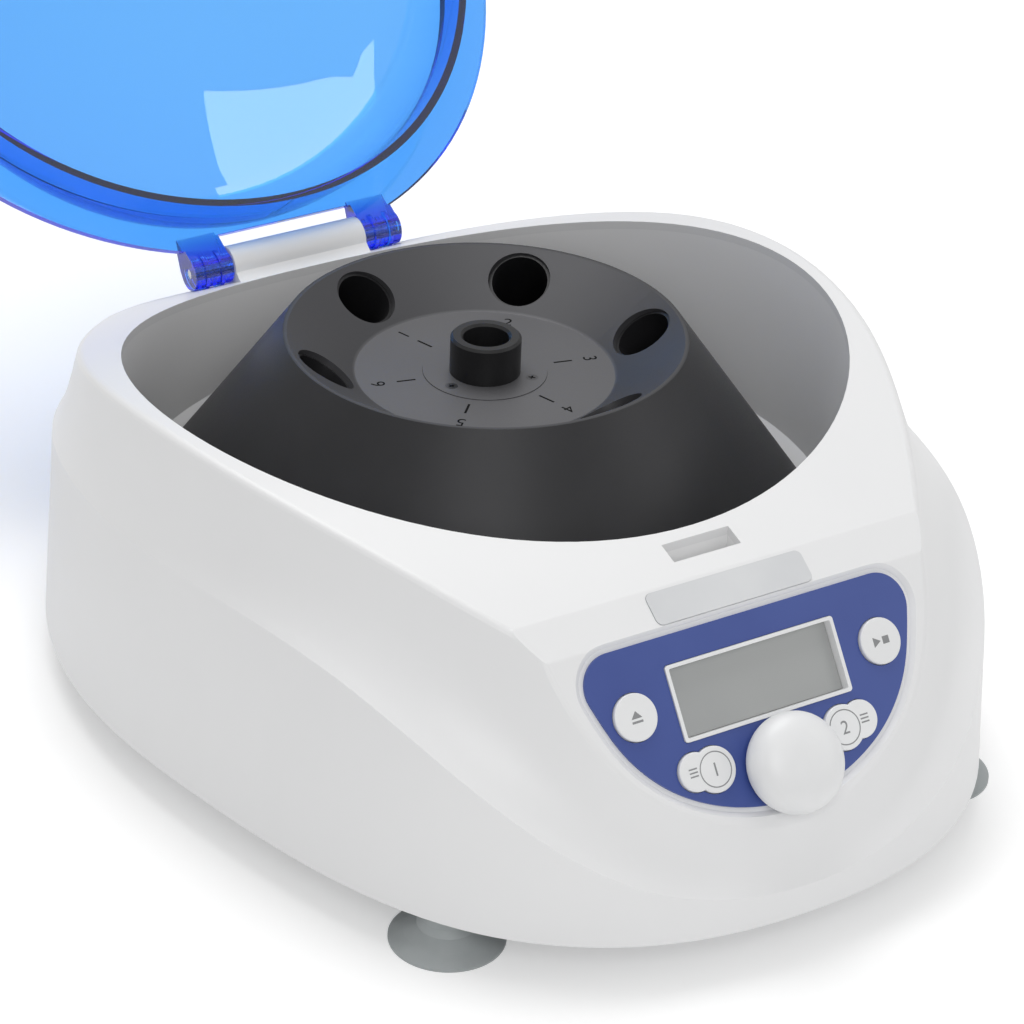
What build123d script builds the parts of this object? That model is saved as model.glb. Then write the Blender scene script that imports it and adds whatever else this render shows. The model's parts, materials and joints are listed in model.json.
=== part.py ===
from build123d import *
import math
import os

# Frame while modelling, in millimetres: rotor axis at x = y = 0, bench at z = 0,
# front of the machine towards -Y. The lid is drawn closed and then swung open.

# Housing shell
base_edge_z = 16.0
housing_wall = 3.2
opening_radius = 130.5
deck_rim = 7.5
shoulder_inset = 16.5
front_reach = 215.0
back_reach = 160.0
crest_front_inset = 9.6
crest_back_inset = 13.5
deck_top_z = 136.2
deck_top_y = -24.0
deck_arc_radius = 385.0
crest_fillet = 3.0
crest_run_out = 14.0
roof_margin = 20.0

# Half outlines from back centre to front centre, as fractions of the half width
# and of the reach to the back or to the front
base_fractions = (
    (0, 1), (0.453, 0.966), (0.731, 0.756), (0.932, 0.425), (1, 0.031),
    (0.948, -0.279), (0.841, -0.577), (0.667, -0.805), (0.388, -0.951), (0, -1),
)
crest_fractions = (
    (0, 1), (0.449, 0.976), (0.725, 0.768), (0.931, 0.471), (1, 0.02),
    (0.899, -0.326), (0.703, -0.613), (0.536, -0.818), (0.326, -0.952), (0, -1),
)
# Height of the shoulder ridge above the lower edge at each station, how far it
# lies from the lower edge towards the crest, and how hollow the band above it is
shoulder_heights = (57, 59, 67, 76, 79, 80, 74.5, 49, 21, 11)
shoulder_shares = (0.25, 0.25, 0.28, 0.30, 0.31, 0.25, 0.14, 0.11, 0.08, 0.07)
band_hollows = (0.5, 0.5, 1, 1, 1, 2, 4, 5, 3, 0.5)

# Control panel facet: centre of the display, slope, and where the facet above it starts
panel_y = -176.8
panel_z = 86.4
panel_slope = 54.7
panel_top_v = 25.0
facet_start_y = -150.5
panel_recess = 1.4
recess_margin = 1.6
overlay_thickness = 1.0
shield_top_v = 22.8
shield_corner_u = 64.0
shield_low_v = -41.5
display_width = 67.5
display_height = 26.2
bezel_wall = 1.3
bezel_top = 0.2
display_depth = housing_wall + 0.2
board_depth = 9.4
board_thickness = 1.6
board_posts = ((56.0, 15.5), (15.0, -36.5))
post_radius = 2.6
post_screw = 1.0
switch_height = 2.6
round_button_u = 49.4
round_button_radius = 8.0
lobe_v = -24.0
ring_lobe_u = 26.2
ring_lobe_radius = 7.8
small_lobe_u = 33.2
small_lobe_v = -23.0
small_lobe_radius = 6.6
button_proud = 1.4
button_gap = 0.3
button_travel = 0.8
knob_v = -29.6
knob_radius = 17.2
knob_height = 17.0
knob_gap = 1.0
knob_widest = 9.5
knob_crown = 3.0
knob_bore_top = 12.5
boss_wall = 5.0
encoder_shaft_radius = 3.0
encoder_bush_radius = 3.8
bush_top = 0.6
plate_width = 62.5
plate_height = 12.0
plate_corner = 2.5
plate_thickness = 0.8
plate_seat = -0.4

# Clearance of a shaft, pin or trunnion in its bore
shaft_fit = 0.05

# Chamber bowl
bowl_wall = 2.0
bowl_floor_z = 54.0
turret_radius = 48.0
turret_top_z = 94.0
boot_radius = 20.0
boot_plug_radius = 15.0
boot_bore = 6.8
boot_lip = 5.0
standoff_circle = opening_radius - 18.5
standoff_radius = 5.0

# Rotor
rotor_rim_radius = 73.0
rotor_rim_z = 135.0
rotor_skirt_z = 62.0
tube_tilt = 35.5
dish_depth = 15.9
dish_floor_radius = 47.0
dish_thickness = 4.5
skirt_wall = 2.6
hole_radius = 11.65
hole_circle = 59.6
hole_count = 6
first_hole_angle = -13.6
pocket_length = 66.0
pocket_wall = 1.2
sleeve_set_down = 1.5
hub_disc_radius = 22.5
hub_disc_thickness = 1.5
hub_seat_z = 117.9
hub_screw_circle = 17.5
hub_screw_angles = (-46.0, -164.5, 75.0)
hub_screw_radius = 2.3
hub_screw_shank = 1.25
collar_radius = 12.85
collar_height = 15.8
collar_bore = 8.33
hub_radius = 17.0
hub_bottom_z = 102.0
nut_seat_z = 113.0
nut_flats = 13.0
nut_height = 6.0

# Drive: shaft, motor, its plate and dampers
shaft_radius = 5.0
thread_radius = 4.0
shoulder_z = 108.0
thread_top_z = 122.0
motor_radius = 36.0
motor_bottom_z = 33.0
motor_top_z = 86.0
motor_flange_radius = 42.0
motor_flange_thickness = 3.0
motor_plate_radius = 57.0
motor_plate_thickness = 3.0
damper_circle = 49.5
damper_radius = 7.0
damper_stud_radius = 3.0
bearing_radius = 11.0
bearing_height = 7.0

# Base pan, its screws and vents, and the feet
pan_thickness = 2.5
pan_gap = 0.8
base_screw_places = ((0, -202), (126, -86), (-126, -86), (116, 90), (-116, 90), (45, 146))
boss_radius = 4.5
boss_top_z = 38.0
screw_radius = 1.6
screw_head_radius = 3.4
screw_head_height = 2.4
vent_count = 15
vent_pitch = 8.0
vent_length = 26.0
vent_width = 3.0
vent_rows = (-112.0, -78.0)
foot_radius = 20.0
foot_ring_inner = 17.5
foot_hollow = 3.4
foot_lip = 1.0
foot_waist_z = 9.0
foot_barb = 1.3
foot_stud_reach = 4.0
foot_neck_radius = 9.0
foot_stud_radius = 3.0
foot_places = ((102.0, -150.0), (-102.0, -150.0), (98.0, 104.0), (-98.0, 104.0))

# Hinge and lid
hinge_y = opening_radius + 12.5
hinge_z = 105.5
hinge_pin_radius = 2.0
knuckle_radius = 7.5
knuckle_half_width = 28.8
ear_radius = 6.5
ear_width = 16.2
ear_gap = 0.5
ear_notch_gap = 1.5
ear_inner_x = knuckle_half_width + ear_gap
lid_open_angle = 128.8
lid_wall = 3.0
lid_flange_radius = opening_radius + 11.5
lid_flange_thickness = 3.5
lid_deck_gap = 0.6
lid_skirt_clearance = 4.2
lid_skirt_depth = 15.0
dome_centre_z = 122.0
dome_height = 63.0
dome_shoulder_radius = 42.0

# Latch
slot_width = 27.0
slot_length = 8.0
slot_y = -(opening_radius + 8.5)
slot_floor_z = 96.0
latch_wall = 1.2
tongue_thickness = 3.0
tongue_width = 22.0
striker_plate_x = 17.0
striker_plate_thickness = 1.5
striker_screw_x = (-14.0, 14.0)
striker_screw_radius = 1.2
striker_head_radius = 2.3
striker_window_gap = 1.4
bar_width = 12.0
bar_thickness = 3.5
bar_length = 12.6
bar_z = 101.0
bar_gap = 0.4
latch_travel = 7.0
latch_leg_width = 12.0
latch_leg_thickness = 3.0
plunger_side = 6.0
plunger_length = 11.0
plunger_z = 87.8
solenoid_width = 22.0
solenoid_height = 14.0
solenoid_length = 11.1
lid_switch_length = 18.0
lid_switch_width = 6.0
lid_switch_height = 10.0
lid_switch_pin_pitch = 6.0
lid_switch_pin_length = 5.0

# Mains inlet and switch in the back
recess_width = 84.0
recess_height = 27.0
recess_z = 36.0
recess_x = -30.0
recess_y = 150.0
inlet_width = 30.0
inlet_height = 23.0
inlet_x = -50.0
inlet_depth = 18.0
socket_width = 23.5
socket_height = 16.4
socket_depth = 16.0
socket_corner = 4.0
inlet_flange = 2.0
inlet_flange_lap = 1.5
inlet_corner = 2.5
panel_fit = 0.2
pin_length = 10.0
pin_width = 2.0
pin_height = 4.0
pin_places = ((-7.0, -2.0), (0.0, 2.0), (7.0, -2.0))
rocker_x = -8.0
rocker_width = 13.0
rocker_height = 19.0
rocker_angle = 12.0
rocker_pivot_y = 150.6
rocker_dip = 1.6
rocker_gap = 0.35
trunnion_radius = 1.2
switch_depth = 16.0
switch_wall = 1.2
switch_flange = 1.8
switch_corner = 1.5

# Power board
power_board_width = 100.0
power_board_length = 44.0
power_board_y = 94.0
power_board_z = 26.0
board_leg_radius = 3.0
cap_places = (-34.0, -16.0)
cap_radius = 8.0
cap_height = 20.0
sink_x = 8.0
sink_length = 32.0
sink_base = 3.0
sink_height = 18.0
fin_count = 8
fin_pitch = 5.0
fin_thickness = 1.5

crest_half_width = opening_radius + deck_rim
base_half_width = crest_half_width + shoulder_inset
slope = math.radians(panel_slope)
pan_top_z = base_edge_z + pan_thickness
dish_floor_z = rotor_rim_z - dish_depth
tilt = math.radians(tube_tilt)
rotor_skirt_radius = rotor_rim_radius + (rotor_rim_z - rotor_skirt_z) * math.tan(tilt)


def crossing(p, d, q, e):
    """Point where the line through p along d meets the line through q along e."""
    s = ((q[0] - p[0]) * e[1] - (q[1] - p[1]) * e[0]) / (d[0] * e[1] - d[1] * e[0])
    return (p[0] + s * d[0], p[1] + s * d[1])


def deck_z(y, depth=0.0):
    r = deck_arc_radius - depth
    return deck_top_z - deck_arc_radius + math.sqrt(r * r - (y - deck_top_y) ** 2)


def top_profile(depth=0.0):
    """Side view corners of the top: end of the deck arc, start and run of the panel facet."""
    along = (math.cos(slope), math.sin(slope))
    panel_point = (panel_y + depth * math.sin(slope), panel_z - depth * math.cos(slope))
    upper = (panel_y + panel_top_v * along[0], panel_z + panel_top_v * along[1])
    start = (facet_start_y, deck_z(facet_start_y))
    run = (start[0] - upper[0], start[1] - upper[1])
    length = math.hypot(*run)
    facet_point = (start[0] + depth * run[1] / length, start[1] - depth * run[0] / length)
    bend = crossing(facet_point, run, panel_point, along)
    y = facet_start_y
    for _ in range(20):
        y = facet_point[0] + (deck_z(y, depth) - facet_point[1]) * run[0] / run[1]
    return (y, deck_z(y, depth)), bend, panel_point, along


def crest_z(y):
    start, bend, panel_point, along = top_profile()
    if y >= start[0]:
        return deck_z(y)
    if y >= bend[0]:
        return bend[1] + (y - bend[0]) * (start[1] - bend[1]) / (start[0] - bend[0])
    return panel_point[1] + (y - panel_point[0]) * along[1] / along[0]


def under_top(depth=0.0, half_width=250.0):
    """Everything below the deck, the plate facet and the panel, set down by depth."""
    start, bend, panel_point, along = top_profile(depth)
    far_back = 260.0
    low = -60.0
    foot_y = panel_point[0] + (low - panel_point[1]) * along[0] / along[1]
    deck_arc = ThreePointArc(
        (0, start[0], start[1]),
        (0, (start[0] + far_back) / 2, deck_z((start[0] + far_back) / 2, depth)),
        (0, far_back, deck_z(far_back, depth)),
    )
    rest = Polyline(
        (0, far_back, deck_z(far_back, depth)), (0, far_back, low),
        (0, foot_y, low), (0, bend[0], bend[1]), (0, start[0], start[1]),
    )
    side = make_face([deck_arc, rest])
    return extrude(side, half_width, dir=(1, 0, 0), both=True)


def half_outline(fractions, half_width, front, back):
    return [(x * half_width, y * (back if y > 0 else front)) for x, y in fractions]


def outward(points, i):
    """Unit normal of a half outline at one station, pointing out of the body."""
    mirrored = [(-points[1][0], points[1][1])] + list(points) + [(-points[-2][0], points[-2][1])]
    dx = mirrored[i + 2][0] - mirrored[i][0]
    dy = mirrored[i + 2][1] - mirrored[i][1]
    length = math.hypot(dx, dy)
    return (-dy / length, dx / length)


def inset(points, distances):
    moved = []
    for i, (x, y) in enumerate(points):
        nx, ny = outward(points, i)
        moved.append((x - nx * distances[i], y - ny * distances[i]))
    return moved


def closed_ring(points, heights):
    """Closed smooth curve through a half outline and its mirror image."""
    half = [(x, y, z) for (x, y), z in zip(points, heights)]
    mirrored = [(-x, y, z) for x, y, z in half[-2:0:-1]]
    return Wire([Spline(*half, *mirrored, periodic=True)])


def ring_points(depth):
    """Outline rings of the housing from its lower edge to above the crest, set in by depth."""
    base = half_outline(base_fractions, base_half_width, front_reach, back_reach)
    crest = half_outline(
        crest_fractions, crest_half_width,
        front_reach - crest_front_inset, back_reach - crest_back_inset,
    )
    rows = [[], [], [], []]
    for i, (bx, by) in enumerate(base):
        cx, cy = crest[i]
        top = Vector(cx, cy, crest_z(cy))
        share = shoulder_shares[i]
        low = Vector(bx + (cx - bx) * share, by + (cy - by) * share, base_edge_z + shoulder_heights[i])
        rows[0].append(low)
        rows[1].append((low + top) / 2)
        rows[2].append(top)
        rows[3].append(top + (top - low).normalized() * crest_run_out)
    rings = [(base, None)]
    for row, bends in zip(rows, ([0] * len(base), band_hollows, [0] * len(base), [0] * len(base))):
        rings.append((inset([(p.X, p.Y) for p in row], bends), [p.Z for p in row]))
    rings.append((inset(crest, [crest_run_out] * len(base)), None))
    return [(inset(points, [depth] * len(base)), heights) for points, heights in rings]


def hull(depth=0.0, low_z=base_edge_z):
    """Body from the lower edge over the shoulder ridge and the hollow band to above the crest."""
    rings = ring_points(depth)
    count = len(base_fractions)
    top_z = deck_top_z + roof_margin
    wires = []
    for i, (points, heights) in enumerate(rings):
        flat = low_z if i == 0 else top_z
        wires.append(closed_ring(points, heights or [flat] * count))
    flank = Shell.make_loft(wires[0:2], True)
    band = Shell.make_loft(wires[1:5], False)
    upper = Shell.make_loft(wires[4:6], True)
    faces = [*flank.faces(), *band.faces(), *upper.faces(), Face(wires[0]), Face(wires[5])]
    return Solid(Shell(faces))


# Simple solids placed by their limits

standing = (Align.CENTER, Align.CENTER, Align.MIN)
cornered = (Align.MIN, Align.MIN, Align.MIN)


def rod(radius, low, high, x=0.0, y=0.0):
    """Upright cylinder between two heights."""
    return Pos(x, y, low) * Cylinder(radius, high - low, align=standing)


def cross_rod(radius, x0, x1, y, z):
    """Cylinder along X between two planes."""
    shape = Rot(0, 90, 0) * Cylinder(radius, x1 - x0, align=standing)
    return Pos(x0, y, z) * shape


def block(x0, x1, y0, y1, z0, z1):
    shape = Box(x1 - x0, y1 - y0, z1 - z0, align=cornered)
    return Pos(x0, y0, z0) * shape


def turned(points):
    """Solid of revolution about the rotor axis from (radius, height) corners."""
    face = make_face(Polyline(*[(r, 0, z) for r, z in points], close=True))
    return revolve(face, Axis.Z)


def along_x(points, x0, x1):
    """Prism along X from (y, z) corners."""
    face = make_face(Polyline(*[(x0, y, z) for y, z in points], close=True))
    return extrude(face, x1 - x0, dir=(1, 0, 0))


def cross_recess(size, depth):
    """Cross-shaped driver recess, top face at the origin."""
    arms = Rectangle(size, size * 0.26) + Rectangle(size * 0.26, size)
    return extrude(arms, -depth)


# Control panel frame: u along X, v up the slope, n out of the panel

def panel_frame():
    return Plane(
        origin=(0, panel_y, panel_z), x_dir=(1, 0, 0), z_dir=(0, -math.sin(slope), math.cos(slope))
    )


def on_panel(shape):
    return panel_frame().location * shape


def shield():
    """Outline of the blue control overlay in panel coordinates, as tangent arcs."""
    u = shield_corner_u
    bottom = TangentArc((0, shield_low_v), (u - 27.4, shield_low_v + 10.1), tangent=(1, 0))
    side = TangentArc(bottom @ 1, (u - 4.2, shield_top_v - 26.8), tangent=bottom % 1)
    flank = TangentArc(side @ 1, (u, shield_top_v - 14.8), tangent=side % 1)
    corner = TangentArc(flank @ 1, (u - 11, shield_top_v), tangent=flank % 1)
    top = Line(corner @ 1, (0, shield_top_v))
    half = [bottom, side, flank, corner, top]
    return make_face([*half, *[mirror(edge, Plane.YZ) for edge in half]])


def panel_slab(face, low, high):
    """Prism on the panel from one height to another, both measured outwards."""
    return on_panel(Pos(0, 0, low) * extrude(face, high - low))


def panel_rod(radius, low, high, u, v):
    return on_panel(Pos(u, v, low) * Cylinder(radius, high - low, align=standing))


def panel_block(u0, u1, v0, v1, low, high):
    shape = Box(u1 - u0, v1 - v0, high - low, align=cornered)
    return on_panel(Pos(u0, v0, low) * shape)


def lobed(grow=0.0, side=1):
    """Outline of a two-lobed program button, grown all round."""
    ring = Pos(side * ring_lobe_u, lobe_v) * Circle(ring_lobe_radius + grow)
    small = Pos(side * small_lobe_u, small_lobe_v) * Circle(small_lobe_radius + grow)
    return ring + small


def round_spot(side, grow=0.0):
    return Pos(side * round_button_u, 0) * Circle(round_button_radius + grow)


# Housing

def knuckle_block():
    """Middle knuckle of the hinge with its ramp rising out of the deck."""
    ramp_y = opening_radius + 1.2
    meet = math.radians(135)
    touch = (hinge_y + knuckle_radius * math.cos(meet), hinge_z + knuckle_radius * math.sin(meet))
    middle = ((ramp_y + touch[0]) / 2 + 0.5, (deck_z(ramp_y) + touch[1]) / 2 - 1.6)
    low = deck_z(hinge_y) - 14.0
    back = hinge_y + knuckle_radius
    ramp = ThreePointArc((0, ramp_y, deck_z(ramp_y) - 0.2), (0, *middle), (0, *touch))
    behind_bowl = opening_radius + bowl_wall + 1.0
    rest = Polyline(
        (0, *touch), (0, hinge_y, hinge_z), (0, back, hinge_z), (0, back - 3.0, low),
        (0, behind_bowl, low), (0, behind_bowl, deck_z(ramp_y) - housing_wall),
        (0, ramp_y, deck_z(ramp_y) - housing_wall + 1.0), (0, ramp_y, deck_z(ramp_y) - 0.2),
    )
    body = extrude(make_face([ramp, rest]), knuckle_half_width, dir=(1, 0, 0), both=True)
    barrel = cross_rod(knuckle_radius, -knuckle_half_width, knuckle_half_width, hinge_y, hinge_z)
    return body + barrel


def ear_notches():
    x0 = knuckle_half_width
    x1 = ear_inner_x + ear_width + ear_gap
    radius = ear_radius + ear_notch_gap
    return [
        cross_rod(radius, x0, x1, hinge_y, hinge_z),
        cross_rod(radius, -x1, -x0, hinge_y, hinge_z),
    ]


def bosses():
    """Screw columns for the base pan, each tied to the wall by a rib."""
    parts = []
    for x, y in base_screw_places:
        reach = math.hypot(x, y)
        column = rod(boss_radius, pan_top_z, boss_top_z, x, y)
        rib = Box(30, 2.4, boss_top_z - pan_top_z - 4, align=(Align.MIN, Align.CENTER, Align.MIN))
        angle = math.degrees(math.atan2(y, x))
        rib = Pos(x, y, pan_top_z + 4) * Rot(0, 0, angle) * rib
        parts += [column, rib]
    return parts


def panel_holes(low, high):
    """Prisms through the panel for the display, the buttons and the knob's bush."""
    window = RectangleRounded(display_width + 0.3, display_height + 0.3, 1.3)
    holes = [panel_slab(window, low, high), panel_rod(encoder_bush_radius + 0.1, low, high, 0, knob_v)]
    for side in (-1, 1):
        holes.append(panel_slab(round_spot(side, button_gap), low, high))
        holes.append(panel_slab(lobed(button_gap, side), low, high))
    return holes


def panel_dish():
    """Shallow recess with sloping sides that the overlay lies in."""
    low = offset(shield(), recess_margin)
    high = offset(shield(), recess_margin + 2.6)
    return on_panel(loft([Pos(0, 0, -panel_recess) * low, Pos(0, 0, 0.6) * high]))


def back_recess(wall=0.0):
    half_x = recess_width / 2 + wall
    half_z = recess_height / 2 + wall
    return block(
        recess_x - half_x, recess_x + half_x, recess_y - wall, back_reach + 1,
        recess_z - half_z, recess_z + half_z,
    )


def housing():
    """Moulded top cover with its openings, screw columns, hinge knuckle and board posts."""
    whole = hull() & under_top()
    edges = [e for e in whole.edges() if e.center().Z > base_edge_z + 5 and 30 < e.length < 600]
    whole = fillet(edges, crest_fillet)
    shell = whole - (hull(housing_wall, base_edge_z - 3) & under_top(housing_wall))
    chamber_hole = rod(opening_radius, bowl_floor_z, deck_top_z + 10)
    added = [part & whole for part in bosses()]
    added.append(back_recess(housing_wall) & whole)
    added.append(knuckle_block() - chamber_hole)
    for side in (-1, 1):
        added += [
            panel_rod(post_radius, -board_depth, 0.5 - housing_wall, side * u, v) for u, v in board_posts
        ]
    cut = [
        chamber_hole, back_recess(), inlet_body(panel_fit), switch_body(panel_fit), *ear_notches(),
        cross_rod(hinge_pin_radius + 0.02, -knuckle_half_width, knuckle_half_width, hinge_y, hinge_z),
        slot_box(0, slot_floor_z, deck_top_z), panel_dish(), *panel_holes(-6, 1),
        plate_on_facet(plate_seat, 3.0, 0.15),
    ]
    cut += [rod(screw_radius + 0.05, pan_top_z, boss_top_z - 6, x, y) for x, y in base_screw_places]
    return (shell + added) - cut


def facet_frame():
    """Middle of the small facet above the panel, facing outwards."""
    start, bend, panel_point, along = top_profile()
    middle = (0, (start[0] + bend[0]) / 2, (start[1] + bend[1]) / 2)
    lean = math.atan2(start[1] - bend[1], start[0] - bend[0])
    return Plane(origin=middle, x_dir=(1, 0, 0), z_dir=(0, -math.sin(lean), math.cos(lean)))


def plate_on_facet(low, high, grow=0.0):
    outline = RectangleRounded(plate_width + 2 * grow, plate_height + 2 * grow, plate_corner + grow)
    return facet_frame().location * (Pos(0, 0, low) * extrude(outline, high - low))


def name_plate():
    return plate_on_facet(plate_seat, plate_seat + plate_thickness)


# Chamber

def chamber_bowl():
    outer = opening_radius + bowl_wall
    inner = opening_radius
    floor = bowl_floor_z
    under = floor - bowl_wall
    wall = make_face(Polyline(
        (boot_plug_radius + 0.1, 0, turret_top_z), (turret_radius - 4, 0, turret_top_z),
        (turret_radius, 0, turret_top_z - 4), (turret_radius, 0, floor + 6),
        (turret_radius + 6, 0, floor), (inner - 10, 0, floor), (inner, 0, floor + 10),
        (inner, 0, deck_top_z), (outer, 0, deck_top_z), (outer, 0, floor + 9), (inner - 9, 0, under),
        (turret_radius + 5.2, 0, under), (turret_radius - bowl_wall, 0, floor + 5.2),
        (turret_radius - bowl_wall, 0, turret_top_z - 5), (turret_radius - 5, 0, turret_top_z - bowl_wall),
        (boot_plug_radius + 0.1, 0, turret_top_z - bowl_wall), close=True,
    ))
    bowl = revolve(wall, Axis.Z)
    bowl = bowl & under_top(housing_wall)
    return bowl


def bowl_standoffs():
    parts = []
    for i in range(4):
        angle = math.radians(45 + 90 * i)
        x = standoff_circle * math.cos(angle)
        y = standoff_circle * math.sin(angle)
        parts.append(rod(standoff_radius, pan_top_z, bowl_floor_z - bowl_wall, x, y))
    return Compound(children=parts)


def shaft_boot():
    """Rubber boot plugged into the turret, with its lip round the shaft."""
    low = turret_top_z - bowl_wall
    lip = turret_top_z + boot_lip
    return turned((
        (boot_bore, low), (boot_plug_radius, low), (boot_plug_radius, turret_top_z),
        (boot_radius, turret_top_z), (boot_radius, turret_top_z + 1.5),
        (boot_plug_radius - 1, turret_top_z + 2), (boot_bore + 2.2, lip), (boot_bore, lip),
    ))


# Base

def base_pan():
    base = half_outline(base_fractions, base_half_width, front_reach, back_reach)
    edge = closed_ring(inset(base, [housing_wall + pan_gap] * len(base)), [base_edge_z] * len(base))
    pan = extrude(Face(edge), pan_thickness, dir=(0, 0, 1))
    slot = extrude(SlotOverall(vent_length, vent_width, rotation=90), pan_thickness)
    columns = [(i - (vent_count - 1) / 2) * vent_pitch for i in range(vent_count)]
    pan -= [Pos(x, y, base_edge_z) * slot for x in columns for y in vent_rows]
    pan -= [rod(screw_radius + 0.3, base_edge_z, pan_top_z, x, y) for x, y in base_screw_places]
    pan -= [rod(foot_stud_radius + 0.1, base_edge_z, pan_top_z, x, y) for x, y in foot_places]
    pan += [rod(board_leg_radius, pan_top_z, power_board_z, x, y) for x, y in power_board_legs()]
    return pan


def power_board_legs():
    x = power_board_width / 2 - 5
    y = power_board_length / 2 - 5
    return [(sx * x, power_board_y + sy * y) for sx in (-1, 1) for sy in (-1, 1)]


def foot(x, y):
    """Suction foot: hollow cup, waist and a stud that snaps through the pan."""
    bulb = foot_stud_radius + foot_barb
    top = pan_top_z + foot_stud_reach
    cup = turned([
        (0, foot_hollow), (10, 2.4), (foot_ring_inner, 0), (foot_radius, 0), (foot_radius, foot_lip),
        (15, 3.6), (10.5, 6.4), (foot_neck_radius, foot_waist_z), (foot_neck_radius, base_edge_z),
        (foot_stud_radius, base_edge_z), (foot_stud_radius, pan_top_z), (bulb, pan_top_z),
        (bulb, pan_top_z + 1), (foot_stud_radius - 1, top), (0, top),
    ])
    return Pos(x, y, 0) * cup


def base_screws():
    parts = []
    for x, y in base_screw_places:
        head = rod(screw_head_radius, base_edge_z - screw_head_height, base_edge_z)
        head = fillet(head.faces().sort_by(Axis.Z)[0].edges(), 0.6)
        shank = rod(screw_radius, base_edge_z, boss_top_z - 8)
        recess = Pos(0, 0, base_edge_z - screw_head_height) * Rot(180, 0, 0) * cross_recess(3.4, 1.2)
        parts.append(Pos(x, y, 0) * (head + shank - recess))
    return Compound(children=parts)


# Drive

def motor_plate():
    plate = rod(motor_plate_radius, motor_bottom_z - motor_plate_thickness, motor_bottom_z)
    plate -= rod(bearing_radius + 3, motor_bottom_z - motor_plate_thickness, motor_bottom_z)
    plate -= [rod(damper_stud_radius + 0.1, 0, motor_bottom_z, *at) for at in damper_places()]
    return plate


def damper_places():
    angles = [math.radians(90 + 120 * i) for i in range(3)]
    return [(damper_circle * math.cos(a), damper_circle * math.sin(a)) for a in angles]


def damper(x, y):
    """Rubber bobbin between the pan and the motor plate, with its stud above."""
    low = pan_top_z
    high = motor_bottom_z - motor_plate_thickness
    waist = damper_radius - 2
    body = turned((
        (0, low), (damper_radius, low), (damper_radius, low + 2.5), (waist, low + 4), (waist, high - 4),
        (damper_radius, high - 2.5), (damper_radius, high), (damper_stud_radius, high),
        (damper_stud_radius, high + motor_plate_thickness + 4), (0, high + motor_plate_thickness + 4),
    ))
    return Pos(x, y, 0) * body


def motor_can():
    """Closed motor can with end bells, seats for two bearings and the shaft passage."""
    low = motor_bottom_z
    high = motor_top_z
    bell = motor_radius - 3
    can = turned((
        (0, low), (motor_flange_radius, low), (motor_flange_radius, low + motor_flange_thickness),
        (motor_radius, low + motor_flange_thickness), (motor_radius, high - 8), (bell, high - 5),
        (bell, high - 2), (bearing_radius + 5, high - 2), (bearing_radius + 4, high), (0, high),
    ))
    can -= rod(shaft_radius + 1.5, low + 2, high)
    can -= rod(bearing_radius, low + 4, low + 4 + bearing_height)
    can -= rod(bearing_radius, high - bearing_height, high)
    vents = []
    for i in range(12):
        vents.append(Rot(0, 0, 30 * i) * block(bell - 3, bell + 6, -2, 2, high - 20, high - 9))
    return can - vents


def bearing_lows():
    return (motor_bottom_z + 4, motor_top_z - bearing_height)


def motor_bearings():
    parts = []
    for low in bearing_lows():
        high = low + bearing_height
        ring = turned((
            (shaft_radius + shaft_fit, low), (bearing_radius, low), (bearing_radius, high),
            (bearing_radius - 2, high), (bearing_radius - 2.4, high - 0.4), (shaft_radius + 2.4, high - 0.4),
            (shaft_radius + 2, high), (shaft_radius + shaft_fit, high),
        ))
        parts.append(ring)
    return Compound(children=parts)


def drive_shaft():
    shaft = rod(shaft_radius, motor_bottom_z + 3, shoulder_z) + rod(thread_radius, shoulder_z, thread_top_z)
    return chamfer(shaft.faces().sort_by(Axis.Z)[-1].edges(), 0.6)


# Rotor

def dish_z(radius):
    rise = dish_depth / (rotor_rim_radius - 1.5 - dish_floor_radius)
    return dish_floor_z + max(0.0, radius - dish_floor_radius) * rise


def pocket_axis(i, radius=hole_circle):
    """Location on the dish wall with its z axis along pocket i, pointing out of its mouth."""
    angle = first_hole_angle + 360 / hole_count * i
    return Rot(0, 0, angle) * Pos(radius, 0, dish_z(radius)) * Rot(0, -tube_tilt, 0)


def rotor_body():
    """Conical shell with its dished top, hub and six angled tube holes."""
    inner_step = skirt_wall / math.cos(tilt)
    rise = dish_depth / (rotor_rim_radius - 1.5 - dish_floor_radius)
    under = dish_floor_z - dish_thickness
    lean = math.tan(tilt)
    rim_drop = rotor_rim_z - under + dish_floor_radius * rise
    meet_r = (rotor_rim_radius - inner_step + rim_drop * lean) / (1 + rise * lean)
    meet_z = under + (meet_r - dish_floor_radius) * rise
    cone = turned((
        (0, hub_bottom_z), (hub_radius, hub_bottom_z), (hub_radius + 3, under), (dish_floor_radius, under),
        (meet_r, meet_z), (rotor_skirt_radius - inner_step, rotor_skirt_z),
        (rotor_skirt_radius, rotor_skirt_z), (rotor_rim_radius, rotor_rim_z),
        (rotor_rim_radius - 1.5, rotor_rim_z), (dish_floor_radius, dish_floor_z), (0, dish_floor_z),
    ))
    for i in range(hole_count):
        cone -= pocket_axis(i) * Cylinder(hole_radius, 36)
    cone -= rod(hub_disc_radius + 0.1, hub_seat_z, dish_floor_z)
    cone -= rod(collar_bore, nut_seat_z, dish_floor_z)
    cone -= rod(thread_radius + 0.02, hub_bottom_z, dish_floor_z)
    cone -= rod(shaft_radius + 0.02, hub_bottom_z, shoulder_z)
    for angle in hub_screw_angles:
        place = Rot(0, 0, angle) * Pos(hub_screw_circle, 0, 0)
        cone -= place * rod(hub_screw_shank + 0.02, hub_seat_z - 7, hub_seat_z)
    return cone


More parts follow.
